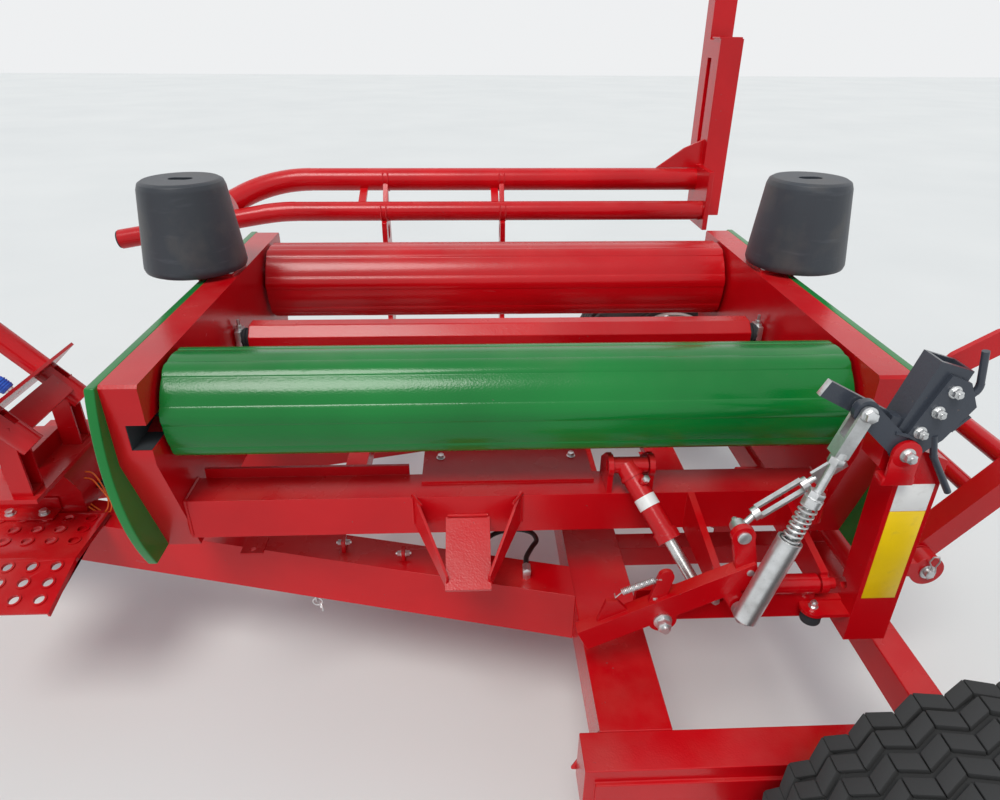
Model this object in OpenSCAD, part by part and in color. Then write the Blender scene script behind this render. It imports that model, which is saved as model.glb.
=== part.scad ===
// Trailed, self-loading turntable wrapper for round bales.
// The origin is the centre of the tow eye, +X points to the tractor, +Y to the left side, +Z up.
// Modules are written from the point on the ground below the turntable's axis, then moved to the eye.

/* [Stance] */
// Height of the tow eye above the ground
hitch_h = 450; // [400:10:520]
// Distance from the tow eye back to the turntable's axis
table_back = 2350; // [2250:10:2600]
// Distance from the turntable's axis back to the wheel axle
axle_back = 780; // [740:5:820]
// Distance between the middles of the two tyres
track = 2260; // [2230:5:2360]

/* [Wheels] */
// Outer diameter of the tyre
tyre_d = 780; // [740:5:800]
// Width of the tyre
tyre_w = 260; // [220:5:270]
// Diameter of the rim's flange
rim_d = 430; // [400:5:460]
// Corner radius of the tyre's shoulder
shoulder_r = 45; // [30:1:60]
// Diameter of the stub axle
stub_d = 60; // [50:1:70]
// Outer diameter of the hub
hub_d = 150; // [130:2:170]

/* [Table] */
// Height of the two large rollers' axes above the foot of the turntable's spine
table_lift = 350; // [340:5:400]
// Distance between the axes of the two large rollers
roller_gap = 818; // [790:2:840]
// Diameter of a large roller over its ribs
roller_d = 234; // [210:2:240]
// Length of a large roller
roller_len = 1400; // [1300:5:1404]
// Height of a roller's pressed ribs
rib_h = 5; // [3:0.5:7]
// Number of pressed ribs round a roller
rib_n = 7; // [5:1:9]
// Diameter of a roller's shaft
shaft_d = 40; // [32:1:45]
// Gap between a large roller's end and a cheek
roller_play = 8.5; // [5:0.5:20]
// Thickness of a cheek, which holds the chain drive
cheek_t = 72; // [60:1:80]
// Thickness of the green guard on a cheek's outer side
guard_t = 20; // [15:1:24]
// Half length of a cheek along Y
cheek_half = 560; // [555:1:575]
// Height of a cheek's top above the roller axes
cheek_up = 115; // [100:1:125]
// Depth of a cheek's foot below the roller axes
cheek_down = 340; // [320:1:350]
// Height of the beams that join the cheeks
beam_h = 98; // [80:1:110]
// Width of the beams that join the cheeks
beam_w = 90; // [70:1:110]
// Depth of the beams' tops below the roller axes
beam_below = 200; // [190:1:210]
// Distance from the turntable's axis to a beam's outer face
beam_out = 490; // [470:1:500]
// Width of the middle tube over its corners
mid_d = 96; // [80:1:104]

/* [Cones] */
// Diameter of a guide cone at its foot
cone_foot_d = 265; // [240:1:275]
// Diameter of a guide cone at its top
cone_top_d = 218; // [190:1:235]
// Height of a guide cone
cone_h = 235; // [210:5:260]
// Diameter of the pin that a guide cone turns on
cone_pin_d = 40; // [30:1:46]

/* [Chassis] */
// Height of the tops of the cross beam and the side arms
deck_h = 480; // [470:1:490]
// Height of the cross beam and the side arms
box_h = 120; // [100:1:130]
// Width of the cross beam
cross_w = 140; // [120:1:150]
// Distance from the turntable's axis back to the cross beam's middle
cross_back = 220; // [200:1:240]
// Width of a drawbar leg
leg_w = 100; // [80:1:110]
// Height of a drawbar leg
leg_h = 135; // [110:1:150]
// Distance from the centre line to a drawbar leg at the cross beam
leg_out = 480; // [440:1:520]
// Distance from the turntable's axis forward to the drawbar's throat
throat_x = 1560; // [1500:5:1640]
// Thickness of a side arm's cover strip
strip_t = 8; // [5:1:10]
// Width of a side arm
arm_w = 80; // [60:1:90]
// Clearance between a side arm and the tyre
arm_gap = 40; // [25:1:60]
// Gap between the cross beam's top and the tilting frame
frame_gap = 5; // [4:0.5:10]
// Distance from the turntable's axis back to the tilting frame's hinge
hinge_back = 835; // [820:1:850]
// Diameter of the hinge tube
hinge_d = 50; // [44:1:56]

/* [Loading arm] */
// Distance from the right side arm's outer face to the loading arm's hinge
load_gap = 40; // [36:1:50]
// Height of the loading arm's hinge
load_h = 500; // [490:1:510]
// Diameter of the fork's outer tube
fork_d = 90; // [76:1:96]
// Diameter of the fork's inner tube
fork_in_d = 76; // [60:1:80]
// Height of the far fork above the near one with the arm up
fork_gap = 1000; // [900:10:1060]

/* [Film mast] */
// Diameter of a mast tube
mast_d = 60; // [50:1:70]
// Distance between the two mast tubes
mast_gap = 240; // [200:1:260]
// Lean of the mast tubes from upright
mast_lean = 42; // [38:1:46]
// Length of a mast tube
mast_len = 600; // [560:5:660]
// Length of the stretch rollers
film_w = 780; // [700:5:800]

/* [Cutter] */
// Distance from the table's axis to the cutter post's outer face
cutter_out = 760; // [755:1:765]
// Depth of the pin that the cutter frame swings on below the roller axes
cutter_drop = 270; // [262:1:276]
// Diameter of the cutter frame's pin
cutter_pin_d = 24; // [20:1:28]
// Largest width of the cutter post
post_w = 84; // [76:1:88]

/* [Hidden] */
$fn = 48;
fit = 0.05;               // radial clearance of a shaft in its bore
seat = 2;                 // gap between faces that turn past each other
paint = "crimson";
zinc = "silver";
dark = "dimgray";
beam_back = cross_back + cross_w / 2;
beam_front = -cross_back + cross_w / 2;
tyre_in = track / 2 - tyre_w / 2;
arm_out = tyre_in - arm_gap;
arm_in = arm_out - arm_w;
arm_mid = deck_h - box_h / 2;
axle_h = tyre_d / 2;
tilt_rail = 60;
hinge_h = deck_h + frame_gap + tilt_rail / 2;
rear_half = 35;
rear_top = hinge_h - 55;
rear_h = 80;
rail_out = 300;
rail_w = 60;
rail_low = rear_top - 60;
leg_low = deck_h + 10 - leg_h;
leg_top = leg_low + leg_h;
throat_out = leg_w / 2 + 5;
leg_slope = (leg_out - throat_out) / (throat_x - beam_front);
leg_half = leg_w / 2 / cos(atan(leg_slope));
head_x = table_back - 150;
head_half = 60;
tilt_out = 180;
tilt_front = 450;
ramp_back = 985;
ramp_out = 450;
ramp_w = 60;
ramp_reach = [-205, 0, 250];
ramp_low = hinge_h + 15;
bearing_low = hinge_h + tilt_rail / 2;
bearing_high = hinge_h + 83;
bearing_d = 420;
spine_low = bearing_high + seat;
spine_h = 100;
roller_h = spine_low + table_lift;
beam_top = roller_h - beam_below;
beam_in = beam_out - beam_w;
cheek_x = roller_len / 2 + roller_play;
cheek_out = cheek_x + cheek_t;
cheek_top = roller_h + cheek_up;
cheek_foot = roller_h - cheek_down;
cheek_foot_half = beam_out - 30;
guard_r = 600;
belly_h = roller_h - 60;
mid_h = roller_h - 25;
cone_x = cheek_out + guard_t + 30;
cone_y = -150;
cone_low = cheek_top + 10;
load_out = arm_out + load_gap;
load_top = load_h + 600;
load_in_z = load_h + 500;
near_out = load_out + 280;
near_in = load_out + 140;
far_out = near_out + 132;
load_shaft_d = 50;
load_sleeve_d = 70;
load_ram_x = 200;
load_ram_y = 500;
load_ram_h = 370;
load_eye = 110;
ram_d = 50;
bore_start = 38;
ram_rod_d = 30;
ram_pin_d = 24;
tilt_pivot = [-700, 0, deck_h - 210];
tilt_eye = [-475, 0, hinge_h - 30];
tilt_barrel_len = 255;
tilt_rod_len = norm(tilt_eye - tilt_pivot) - bore_start - 4;
load_pivot = [load_ram_x, -load_ram_y, load_ram_h];
load_rod_eye = [load_ram_x, -load_out - load_eye, load_h - load_eye];
load_barrel_len = 350;
load_rod_len = 348;
cutter_pin_h = roller_h - cutter_drop;
cutter_pin_y = 710;
post_in = cutter_out - 60;
bar_y = 702;
bar_t = 16;
lever_y = 736;
lever_t = 28;
knife_y = 764;
knife_t = 12;
cutter_pivot = [-250, 470, roller_h - 138];
cutter_eye = [-385, 680, roller_h - 325];
lever_pin = [-279, roller_h - 305];
spring_foot = [-424, 795, roller_h - 272];
spring_top = [-559, knife_y + knife_t / 2, roller_h + 157];
spring_top_xz = [spring_top[0], spring_top[2]];
spring_tube_len = 186;
spring_d = 46;
ear_pin = [-410, roller_h - 113];
tension_end = [-600, 690, roller_h + 10];
knife_pin = [-643, roller_h + 80];
knife_pin_d = 18;
link_pin_d = 14;
link_play = 5.2;
prong_d = 12;
prong_bend = 20;
elbow_swell = 1;
fork_bend = 380;
step_h = leg_top + 10;
step_fold = 374;
mast_x = 1120;
mast_low = 780;
mast_y = 175;
plate_h = mast_low + mast_len * cos(mast_lean) - 20;
film_x = 1600;
jack_x = 1900;
jack_y = 135;
jack_d = 70;

function unit(v) = v / norm(v);

function leg_y(x) = throat_out + (throat_x - x) * leg_slope;

module place() translate([-table_back, 0, -hitch_h]) children();

module rod_to(a, b, d) {
    v = b - a;
    len = norm(v);
    translate(a) rotate([0, acos(v[2] / len), atan2(v[1], v[0])]) cylinder(h = len, d = d);
}

module bar_to(a, b, w, h) {
    v = b - a;
    len = norm(v);
    translate(a) rotate([0, -asin(v[2] / len), atan2(v[1], v[0])])
        translate([0, -w / 2, -h / 2]) cube([len, w, h]);
}

// A bend of a round tube at a corner between two directions, as a sector of a ring.
module elbow(corner, u, v, d, r) {
    half = acos(u * v) / 2;
    out = unit(u - v);
    up = unit(cross(u, v));
    side = cross(up, out);
    translate(corner - out * r / cos(half)) rotate([atan2(side[2], up[2]), -asin(out[2]), atan2(out[1], out[0])])
        intersection() {
            rotate_extrude() translate([r, 0]) circle(d = d);
            linear_extrude(2 * d, center = true)
                polygon([[0, 0], [2 * r, -2 * r * tan(half)], [2 * r, 2 * r * tan(half)]]);
        }
}

// A round tube along a list of points, bent to a radius at each inner one.
module bent_rod(points, d, r) {
    last = len(points) - 1;
    way = [for (i = [1:last]) unit(points[i] - points[i - 1])];
    back = [for (i = [0:last]) i > 0 && i < last ? r * tan(acos(way[i - 1] * way[i]) / 2) - d / 12 : 0];
    for (i = [1:last])
        rod_to(points[i - 1] + way[i - 1] * back[i - 1], points[i] - way[i - 1] * back[i], d);
    for (i = [1:last - 1])
        elbow(points[i], way[i - 1], way[i], d + elbow_swell, r);
}

// A round hole or eye's outline across a plate that stands along X and Z.
module eye_xz(p, y, t, d) along_y(p[0], y, y + t, p[1], d);

// A straight bar of a plate that stands along X and Z, between two points.
module strip_xz(a, b, w, y, t) {
    u = unit(b - a);
    n = [-u[1], u[0]] * w / 2;
    plate_xz([a + n, b + n, b - n, a - n], y, t);
}

// A hydraulic cylinder's barrel of a given length from its pivot towards the rod's eye, bored for the rod.
module barrel(pivot, eye, len, d, rod_d) {
    u = unit(eye - pivot);
    difference() {
        union() {
            rod_to(pivot, pivot + u * len, d);
            rod_to(pivot + u * (len - 24), pivot + u * len, d + 8);
            rod_to(pivot + u * 26, pivot + u * 34, d + 6);
        }
        rod_to(pivot + u * bore_start, pivot + u * (len + 10), rod_d + 2 * fit);
    }
}

// The rod of a hydraulic cylinder, from inside the barrel to its eye.
module piston(pivot, eye, len, rod_d) {
    u = (eye - pivot) / norm(eye - pivot);
    rod_to(eye - u * len, eye, rod_d);
}

module box(low, high) translate(low) cube(high - low);

module plate_xz(points, y, t) translate([0, y + t, 0]) rotate([90, 0, 0]) linear_extrude(t) polygon(points);

module plate_yz(points, x, t) translate([x, 0, 0]) rotate([90, 0, 90]) linear_extrude(t) polygon(points);

module along_x(x0, x1, y, z, d) translate([x0, y, z]) rotate([0, 90, 0]) cylinder(h = x1 - x0, d = d);

module along_y(x, y0, y1, z, d) translate([x, y1, z]) rotate([90, 0, 0]) cylinder(h = y1 - y0, d = d);

// Drawbar

module drawbar_front() place() color(paint) {
    translate([0, 0, leg_low]) linear_extrude(leg_h)
        polygon([[throat_x, throat_out + leg_half], [head_x, head_half], [head_x, -head_half],
            [throat_x, -throat_out - leg_half]]);
    for (z = [leg_low - 10, leg_top])
        translate([0, 0, z]) linear_extrude(10)
            polygon([[throat_x - 100, leg_y(throat_x - 100)], [throat_x + 160, 80], [throat_x + 160, -80],
                [throat_x - 100, -leg_y(throat_x - 100)], [throat_x - 20, 0]]);
    difference() {
        box([head_x, -head_half - 10, hitch_h - 80], [head_x + 20, head_half + 10, leg_top + 10]);
        for (y = [-50, 50], z = [hitch_h - 65, leg_top - 5])
            along_x(head_x - 5, head_x + 25, y, z, 13);
    }
    difference() {
        box([jack_x - 50, 60, leg_low + 20], [jack_x + 50, jack_y - jack_d / 2, leg_top - 20]);
        box([jack_x - 40, 70, leg_low], [jack_x + 40, jack_y - jack_d / 2 - 10, leg_top]);
    }
    difference() {
        box([jack_x - 50, jack_y - jack_d / 2 - 10, leg_low + 20], [jack_x + 50, jack_y, leg_top - 20]);
        translate([jack_x, jack_y, 300]) cylinder(h = 500, d = jack_d);
    }
}

module leg_bar(s) translate([0, 0, leg_low]) linear_extrude(leg_h)
    polygon([for (corner = [[throat_x, 1], [beam_front, 1], [beam_front, -1], [throat_x, -1]])
        [corner[0], s * (leg_y(corner[0]) + corner[1] * leg_half)]]);

module leg(s) place() color(paint) leg_bar(s);

module leg_left() {
    leg(1);
    place() color(paint) {
        translate([640, leg_y(640) + leg_half - 8, leg_top]) difference() {
            box([-28, -30, 0], [28, 34, 7]);
            translate([0, 18, -1]) cylinder(h = 10, d = 15);
        }
        plate_xz([[520, leg_low + 1], [660, leg_low + 1], [640, leg_low - 32], [575, leg_low - 40]], leg_y(600), 10);
    }
}

module leg_right() leg(-1);

module tow_eye() place() color(zinc) difference() {
    union() {
        translate([table_back, 0, hitch_h - 18]) cylinder(h = 36, d = 120);
        box([head_x + 20, -30, hitch_h - 18], [table_back - 40, 30, hitch_h + 18]);
        box([head_x + 20, -head_half, hitch_h - 60], [head_x + 40, head_half, hitch_h + 50]);
    }
    translate([table_back, 0, 0]) cylinder(h = 1000, d = 51);
}

// Chassis

module cross_beam() place() color(paint) {
    box([-beam_back, -arm_in, deck_h - box_h], [beam_front, arm_in, deck_h]);
    for (s = [1, -1])
        plate_xz([[beam_front, deck_h - 5], [beam_front + 50, deck_h - box_h + 10], [beam_front, deck_h - box_h + 5]],
            s * (arm_in - 4) - 4, 8);
}

module side_arm(s) place() color(paint) {
    box([-axle_back - 110, min(s * arm_in, s * arm_out), deck_h - box_h],
        [beam_front + 40, max(s * arm_in, s * arm_out), deck_h]);
    box([-axle_back - 80, min(s * (arm_in + 14), s * (arm_out + strip_t)), deck_h - box_h + 30],
        [beam_front + 20, max(s * (arm_in + 14), s * (arm_out + strip_t)), deck_h - 30]);
    along_y(-axle_back, s > 0 ? arm_out : -arm_out - 20, s > 0 ? arm_out + 20 : -arm_out, axle_h, stub_d + 30);
    along_y(-axle_back, s > 0 ? arm_out : -track / 2 - 20, s > 0 ? track / 2 + 20 : -arm_out, axle_h, stub_d);
}

module side_arm_left() side_arm(1);

module side_arm_right() {
    side_arm(-1);
    place() color(paint) difference() {
        box([beam_front + 10, -load_out - 45, deck_h - 80], [beam_front + 40, -arm_out, load_h + 45]);
        along_x(beam_front, beam_front + 50, -load_out, load_h, load_shaft_d);
    }
}

module rear_beam() place() color(paint) {
    box([-hinge_back - rear_half, -arm_in, rear_top - rear_h], [-hinge_back + rear_half, arm_in, rear_top]);
    for (s = [1, -1])
        difference() {
            union() {
                box([-hinge_back - rear_half, s * rail_out - 20, rear_top],
                    [-hinge_back + rear_half, s * rail_out + 20, hinge_h]);
                along_y(-hinge_back, s * rail_out - 20, s * rail_out + 20, hinge_h, 2 * rear_half);
            }
            along_y(-hinge_back, -500, 500, hinge_h, hinge_d + 2 * fit);
        }
    for (y = [-44, 32])
        plate_xz([[-hinge_back + 20, rear_top], [-hinge_back + 20, rear_top - rear_h],
            [tilt_pivot[0] - 40, tilt_pivot[2] - 30], [tilt_pivot[0] + 35, tilt_pivot[2] - 30],
            [tilt_pivot[0] + 35, tilt_pivot[2] + 30], [tilt_pivot[0] - 30, rear_top]], y, 12);
}

module rail(s) place() color(paint)
    box([-hinge_back + rear_half, s * rail_out - rail_w / 2, rail_low],
        [-beam_back, s * rail_out + rail_w / 2, rear_top]);

module rail_left() rail(1);

module rail_right() rail(-1);

module tread(low, high, tilt) rotate([tilt, 0, 0]) difference() {
    union() {
        box([low[0], 0, 0], [high[0], high[1], 5]);
        for (x = [low[0], high[0] - 5])
            box([x, 0, -9], [x + 5, high[1], 0]);
        for (x = [low[0] + 36:58:high[0] - 30], y = [26:46:high[1] - 22])
            translate([x, y, 0]) cylinder(h = 8, d = 34);
    }
    for (x = [low[0] + 36:58:high[0] - 30], y = [26:46:high[1] - 22])
        translate([x, y, -10]) cylinder(h = 30, d = 24);
}

module step() place() color(paint) {
    box([1080, leg_y(1080), leg_top], [1110, step_fold, step_h]);
    box([1390, 170, leg_top], [1420, step_fold, step_h]);
    translate([0, 190, step_h]) tread([1060, 0], [1420, step_fold - 190], 0);
    translate([0, step_fold - 4, step_h + 0.3]) tread([1060, 0], [1420, 154], -14);
}

module outrigger() place() color(paint) difference() {
    union() {
        box([440, -load_out + 45, 420], [520, -leg_y(520), 480]);
        difference() {
            box([480, -load_out - 45, 420], [520, -load_out + 45, load_h + 45]);
            along_x(400, 600, -load_out, load_h, load_shaft_d);
        }
        difference() {
            box([load_ram_x - 45, -load_ram_y - 30, load_ram_h - 30], [load_ram_x + 45, -load_ram_y + 90, load_ram_h + 30]);
            box([load_ram_x - 32, -load_ram_y - 40, 0], [load_ram_x + 32, -load_ram_y + 30, 1000]);
        }
    }
    leg_bar(-1);
}

module load_shaft() place() color(zinc)
    along_x(beam_front + 10, 520, -load_out, load_h, load_shaft_d);

// Film mast and dispenser

module mast_base() place() color(paint) {
    plate_xz([[1130, leg_top], [1450, leg_top], [1450, 560], [1300, 640], [1180, 640], [1130, 560]], -60, 230);
    box([1130, -60, 640], [1300, mast_y + mast_gap / 2 + 40, 652]);
    plate_yz([[170, 560], [170, 640], [mast_y + mast_gap / 2 + 30, 640]], 1210, 12);
    box([1200, 60, 652], [1290, 200, 700]);
    for (x = [1215, 1275])
        along_y(x, 200, 214, 676, 22);
}

module mast() place() color(paint) {
    difference() {
        for (s = [1, -1])
            translate([mast_x, mast_y + s * mast_gap / 2, mast_low]) rotate([0, mast_lean, 0])
                cylinder(h = mast_len, d = mast_d);
        translate([0, 0, plate_h]) box([0, -1000, 0], [3000, 1000, 1000]);
        for (s = [1, -1])
            translate([mast_x, mast_y + s * mast_gap / 2, mast_low]) rotate([0, mast_lean, 0])
                box([-50, -9, 60], [0, 9, 100]);
    }
    translate([mast_x, mast_y, mast_low]) rotate([0, mast_lean, 0]) difference() {
        box([-60, -mast_gap / 2 - 80, 110], [60, mast_gap / 2 + 80, 118]);
        for (y = [-mast_gap / 2 - 60, 0, mast_gap / 2 + 60])
            translate([0, y, 100]) cylinder(h = 30, d = 13);
    }
    translate([mast_x, mast_y, mast_low]) rotate([0, mast_lean, 0])
        box([-22, -mast_gap / 2, 30], [22, mast_gap / 2, 90]);
    for (s = [1, -1])
        difference() {
            box([1145, mast_y + s * mast_gap / 2 - 25, 652], [1195, mast_y + s * mast_gap / 2 + 25, 840]);
            box([1140, mast_y + s * mast_gap / 2 - 19, 660], [1189, mast_y + s * mast_gap / 2 + 19, 780]);
        }
}

module dispenser() place() color(dark) {
    difference() {
        box([1440, 20, plate_h], [1720, 330, plate_h + 12]);
        for (y = [100, 250])
            translate([1660, y, plate_h - 5]) cylinder(h = 30, d = 60);
    }
    difference() {
        box([1690, 40, plate_h + 12], [1730, 120, plate_h + film_w + 60]);
        box([1697, 47, plate_h + 30], [1723, 130, plate_h + film_w + 40]);
    }
    box([1480, 40, plate_h + film_w + 60], [1730, 330, plate_h + film_w + 72]);
    translate([film_x, 230, plate_h + film_w - 4]) cylinder(h = 66, d1 = 50, d2 = 70);
    translate([film_x, 230, plate_h + film_w + 72]) cylinder(h = 40, d = 30);
}

// Parking jack

module jack_sleeve() place() color(dark) difference() {
    translate([jack_x, jack_y, 330]) cylinder(h = 500, d = jack_d);
    translate([jack_x, jack_y, 300]) cylinder(h = 500, d = jack_d - 14);
}

module jack_leg() place() color(zinc) {
    translate([jack_x, jack_y, 10]) cylinder(h = 480, d = jack_d - 14 - 2 * fit);
    translate([jack_x, jack_y, 0]) cylinder(h = 10, d = 180);
}

// Wheels

module wheel(s) place() color("whitesmoke")
    translate([-axle_back, s * track / 2, axle_h]) rotate([s > 0 ? 90 : -90, 0, 0]) difference() {
        union() {
            translate([0, 0, -60]) cylinder(h = 120, d = hub_d);
            rotate_extrude()
                polygon([[0, -6], [rim_d / 2 - 76, -6], [rim_d / 2 - 52, -24], [rim_d / 2 - 20, -24], [rim_d / 2 - 20, -12],
                    [rim_d / 2 - 46, -12], [rim_d / 2 - 70, 6], [0, 6]]);
            rotate_extrude()
                polygon([[rim_d / 2 - 22, -tyre_w / 2 + 30], [rim_d / 2 - 12, -tyre_w / 2 + 30],
                    [rim_d / 2 - 12, tyre_w / 2 - 30], [rim_d / 2 - 22, tyre_w / 2 - 30],
                    [rim_d / 2 - 22, 40], [rim_d / 2 - 34, 28], [rim_d / 2 - 34, -28], [rim_d / 2 - 22, -40]]);
        }
        translate([0, 0, -50]) cylinder(h = 250, d = stub_d + 2 * fit);
        for (i = [0:5])
            rotate(i * 60 + 30) translate([rim_d / 2 - 62, 0, -50]) cylinder(h = 100, d = 22);
    }

module wheel_left() wheel(1);

module wheel_right() wheel(-1);

module tyre(s) place() color("black")
    translate([-axle_back, s * track / 2, axle_h]) rotate([90, 0, 0]) rotate_extrude($fn = 96)
        polygon([[rim_d / 2 - 10, -tyre_w / 2 + 30], [rim_d / 2 + 12, -tyre_w / 2 + 8], [rim_d / 2 + 60, -tyre_w / 2],
            [tyre_d / 2 - shoulder_r, -tyre_w / 2 + 5], [tyre_d / 2 - shoulder_r / 3, -tyre_w / 2 + shoulder_r / 3],
            [tyre_d / 2, -tyre_w / 2 + shoulder_r], [tyre_d / 2, tyre_w / 2 - shoulder_r],
            [tyre_d / 2 - shoulder_r / 3, tyre_w / 2 - shoulder_r / 3],
            [tyre_d / 2 - shoulder_r, tyre_w / 2 - 5], [rim_d / 2 + 60, tyre_w / 2], [rim_d / 2 + 12, tyre_w / 2 - 8],
            [rim_d / 2 - 10, tyre_w / 2 - 30]]);

module tyre_left() tyre(1);

module tyre_right() tyre(-1);

// Tilting frame

module tilt_frame() place() color(paint) {
    for (s = [1, -1]) {
        box([-hinge_back, s * tilt_out - 30, hinge_h - 30], [tilt_front, s * tilt_out + 30, hinge_h + 30]);
        along_y(-hinge_back, s * tilt_out - 30, s * tilt_out + 30, hinge_h, tilt_rail);
        difference() {
            union() {
                box([-ramp_back, s * 500 - 20, hinge_h], [-hinge_back, s * 500 + 20, hinge_h + 40]);
                along_y(-ramp_back, s * 500 - 20, s * 500 + 20, ramp_low, 80);
            }
            along_y(-ramp_back, -600, 600, ramp_low, ram_pin_d);
        }
    }
    along_y(-hinge_back, -540, 540, hinge_h, hinge_d);
    box([tilt_front - 60, -tilt_out + 30, hinge_h - 30], [tilt_front, tilt_out - 30, hinge_h + 30]);
    box([-200, -tilt_out + 30, hinge_h - 30], [200, tilt_out - 30, hinge_h + 30]);
    box([-520, -tilt_out + 30, hinge_h], [-430, tilt_out - 30, hinge_h + 30]);
    for (y = [-44, 32])
        difference() {
            plate_xz([[-530, hinge_h + 5], [-500, tilt_eye[2] - 22], [-450, tilt_eye[2] - 22], [-420, hinge_h + 5]], y, 12);
            along_y(tilt_eye[0], -60, 60, tilt_eye[2], ram_pin_d);
        }
}

module bearing() place() color(dark) {
    translate([0, 0, bearing_low]) cylinder(h = 22, d = bearing_d + 30);
    translate([0, 0, bearing_low + 22]) cylinder(h = bearing_high - bearing_low - 22, d = bearing_d);
    translate([0, 0, bearing_high]) cylinder(h = 90, d = 80);
}

module ramp() place() color(paint) {
    foot = [-ramp_back, 0, ramp_low];
    along_y(-ramp_back, -ramp_out - 15, ramp_out + 15, ramp_low, 50);
    for (s = [1, -1]) {
        side = [0, s * (ramp_out - 8), 0];
        bar_to(foot + side, foot + side + ramp_reach, ramp_w, ramp_w);
        translate(foot + side) along_y(0, -ramp_w / 2 - 3, ramp_w / 2 + 3, 0, 76);
    }
    for (t = [0.62, 0.94])
        translate(foot + ramp_reach * t) along_y(0, -ramp_out + 30, ramp_out - 30, 0, t > 0.9 ? 48 : 40);
}

// Turntable

module spine() place() color(paint) difference() {
    union() {
        box([-140, -beam_in, spine_low], [140, beam_in, spine_low + spine_h]);
        translate([0, 0, spine_low]) cylinder(h = 14, d = bearing_d - 20);
    }
    cylinder(h = bearing_high + 90 + seat, d = 80 + 2 * fit);
}

module beam(s) place() color(paint) {
    box([-cheek_x, min(s * beam_in, s * beam_out), beam_top - beam_h], [cheek_x, max(s * beam_in, s * beam_out), beam_top]);
}

module funnel() {
    for (s = [1, -1])
        translate([97 + s * 120, beam_out - 4, beam_top]) rotate([0, 0, 90 + s * 29.6])
            translate([0, s > 0 ? 0 : -6, 0]) rotate([90, 0, 0]) translate([0, 0, -6]) linear_extrude(6)
                polygon([[0, 8], [0, -74], [148, -152], [148, -118]]);
    plate_yz([[beam_out - 4, beam_top - 52], [beam_out - 4, beam_top - 60], [622, beam_top - 152], [626, beam_top - 144]],
        48, 98);
}

module beam_left() {
    beam(1);
    place() color(paint) {
        funnel();
        difference() {
            union() {
                box([-190, 300, beam_top], [200, 440, beam_top + 6]);
                box([-190, 300, beam_top - 22], [200, 306, beam_top]);
            }
            for (x = [-150, 160])
                translate([x, 340, beam_top - 5]) cylinder(h = 20, d = 12);
        }
        box([230, beam_in - 8, beam_top - 50], [690, beam_in, beam_top + 24]);
        for (x = [-618, -407])
            difference() {
                union() {
                    plate_yz([[beam_out - 5, beam_top - beam_h], [beam_out - 5, beam_top],
                        [cutter_pin_y, cutter_pin_h + 28], [cutter_pin_y, cutter_pin_h - 28]], x, 15);
                    along_x(x, x + 15, cutter_pin_y, cutter_pin_h, 40);
                }
                along_x(x - 1, x + 16, cutter_pin_y + 200, cutter_pin_h, 10);
            }
        along_x(-634, -386, cutter_pin_y, cutter_pin_h, cutter_pin_d);
        for (x = [-312, -222])
            difference() {
                union() {
                    plate_yz([[beam_in, beam_top - 5], [beam_in, cutter_pivot[2] - 20], [448, cutter_pivot[2] + 20],
                        [488, cutter_pivot[2]], [488, beam_top - 5]], x, 12);
                    along_x(x, x + 12, cutter_pivot[1], cutter_pivot[2], 50);
                }
                along_x(x - 1, x + 13, cutter_pivot[1], cutter_pivot[2], ram_pin_d);
            }
    }
}

module beam_right() beam(-1);

module cheek(s) place() color(paint) {
    difference() {
        plate_yz([[-cheek_half, cheek_top - 6], [-cheek_half + 6, cheek_top], [cheek_half - 6, cheek_top],
            [cheek_half, cheek_top - 6], [cheek_half, belly_h], [cheek_foot_half, cheek_foot],
            [-cheek_foot_half, cheek_foot], [-cheek_half, belly_h]],
            s > 0 ? cheek_x : -cheek_out, cheek_t);
        for (y = [roller_gap / 2, -roller_gap / 2])
            along_x(s > 0 ? cheek_x - 10 : -cheek_x - 40, s > 0 ? cheek_x + 40 : -cheek_x + 10, y, roller_h, shaft_d + 2 * fit);
        for (t = [1, -1])
            mirror([0, t > 0 ? 0 : 1, 0])
                plate_yz([[roller_gap / 2 + 34, roller_h - 14], [roller_gap / 2 + 84, roller_h - 26],
                    [cheek_half + 5, roller_h - 26], [cheek_half + 5, roller_h + 30],
                    [roller_gap / 2 + 100, roller_h + 30], [roller_gap / 2 + 34, roller_h + 12]],
                    s > 0 ? cheek_x - 1 : -cheek_x - 40, 41);
    }
    difference() {
        box([min(s * (cheek_x + 10), s * (cone_x + 60)), cone_y - 60, cheek_top],
            [max(s * (cheek_x + 10), s * (cone_x + 60)), cone_y + 60, cheek_top + 8]);
        for (y = [cone_y - 45, cone_y + 45])
            translate([s * (cheek_x + 24), y, cheek_top - 5]) cylinder(h = 20, d = 12);
    }
    plate_xz([[s * cheek_out, cheek_top], [s * (cone_x + 50), cheek_top], [s * cheek_out, cheek_top - 60]],
        cone_y - 4, 8);
    translate([s * cone_x, cone_y, cheek_top]) cylinder(h = cone_h - 30, d = cone_pin_d);
}

module cheek_front() cheek(1);

module cheek_rear() cheek(-1);

module guard(s) place() color("green")
    difference() {
        intersection_for(t = [1, -1])
            translate([s > 0 ? cheek_out : -cheek_out - guard_t, t * (cheek_half + 36 - guard_r), roller_h - 60])
                rotate([0, 90, 0]) cylinder(h = guard_t, r = guard_r, $fn = 96);
        for (z = [cheek_top, cheek_foot - 1000])
            box([-1000, -1000, z], [1000, 1000, z + 1000]);
        plate_xz([[s * (cheek_out - 1), cheek_top + 1], [s * (cone_x + 52), cheek_top + 1],
            [s * (cheek_out - 1), cheek_top - 64]], cone_y - 6, 12);
    }

module guard_front() guard(1);

module guard_rear() guard(-1);

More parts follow.
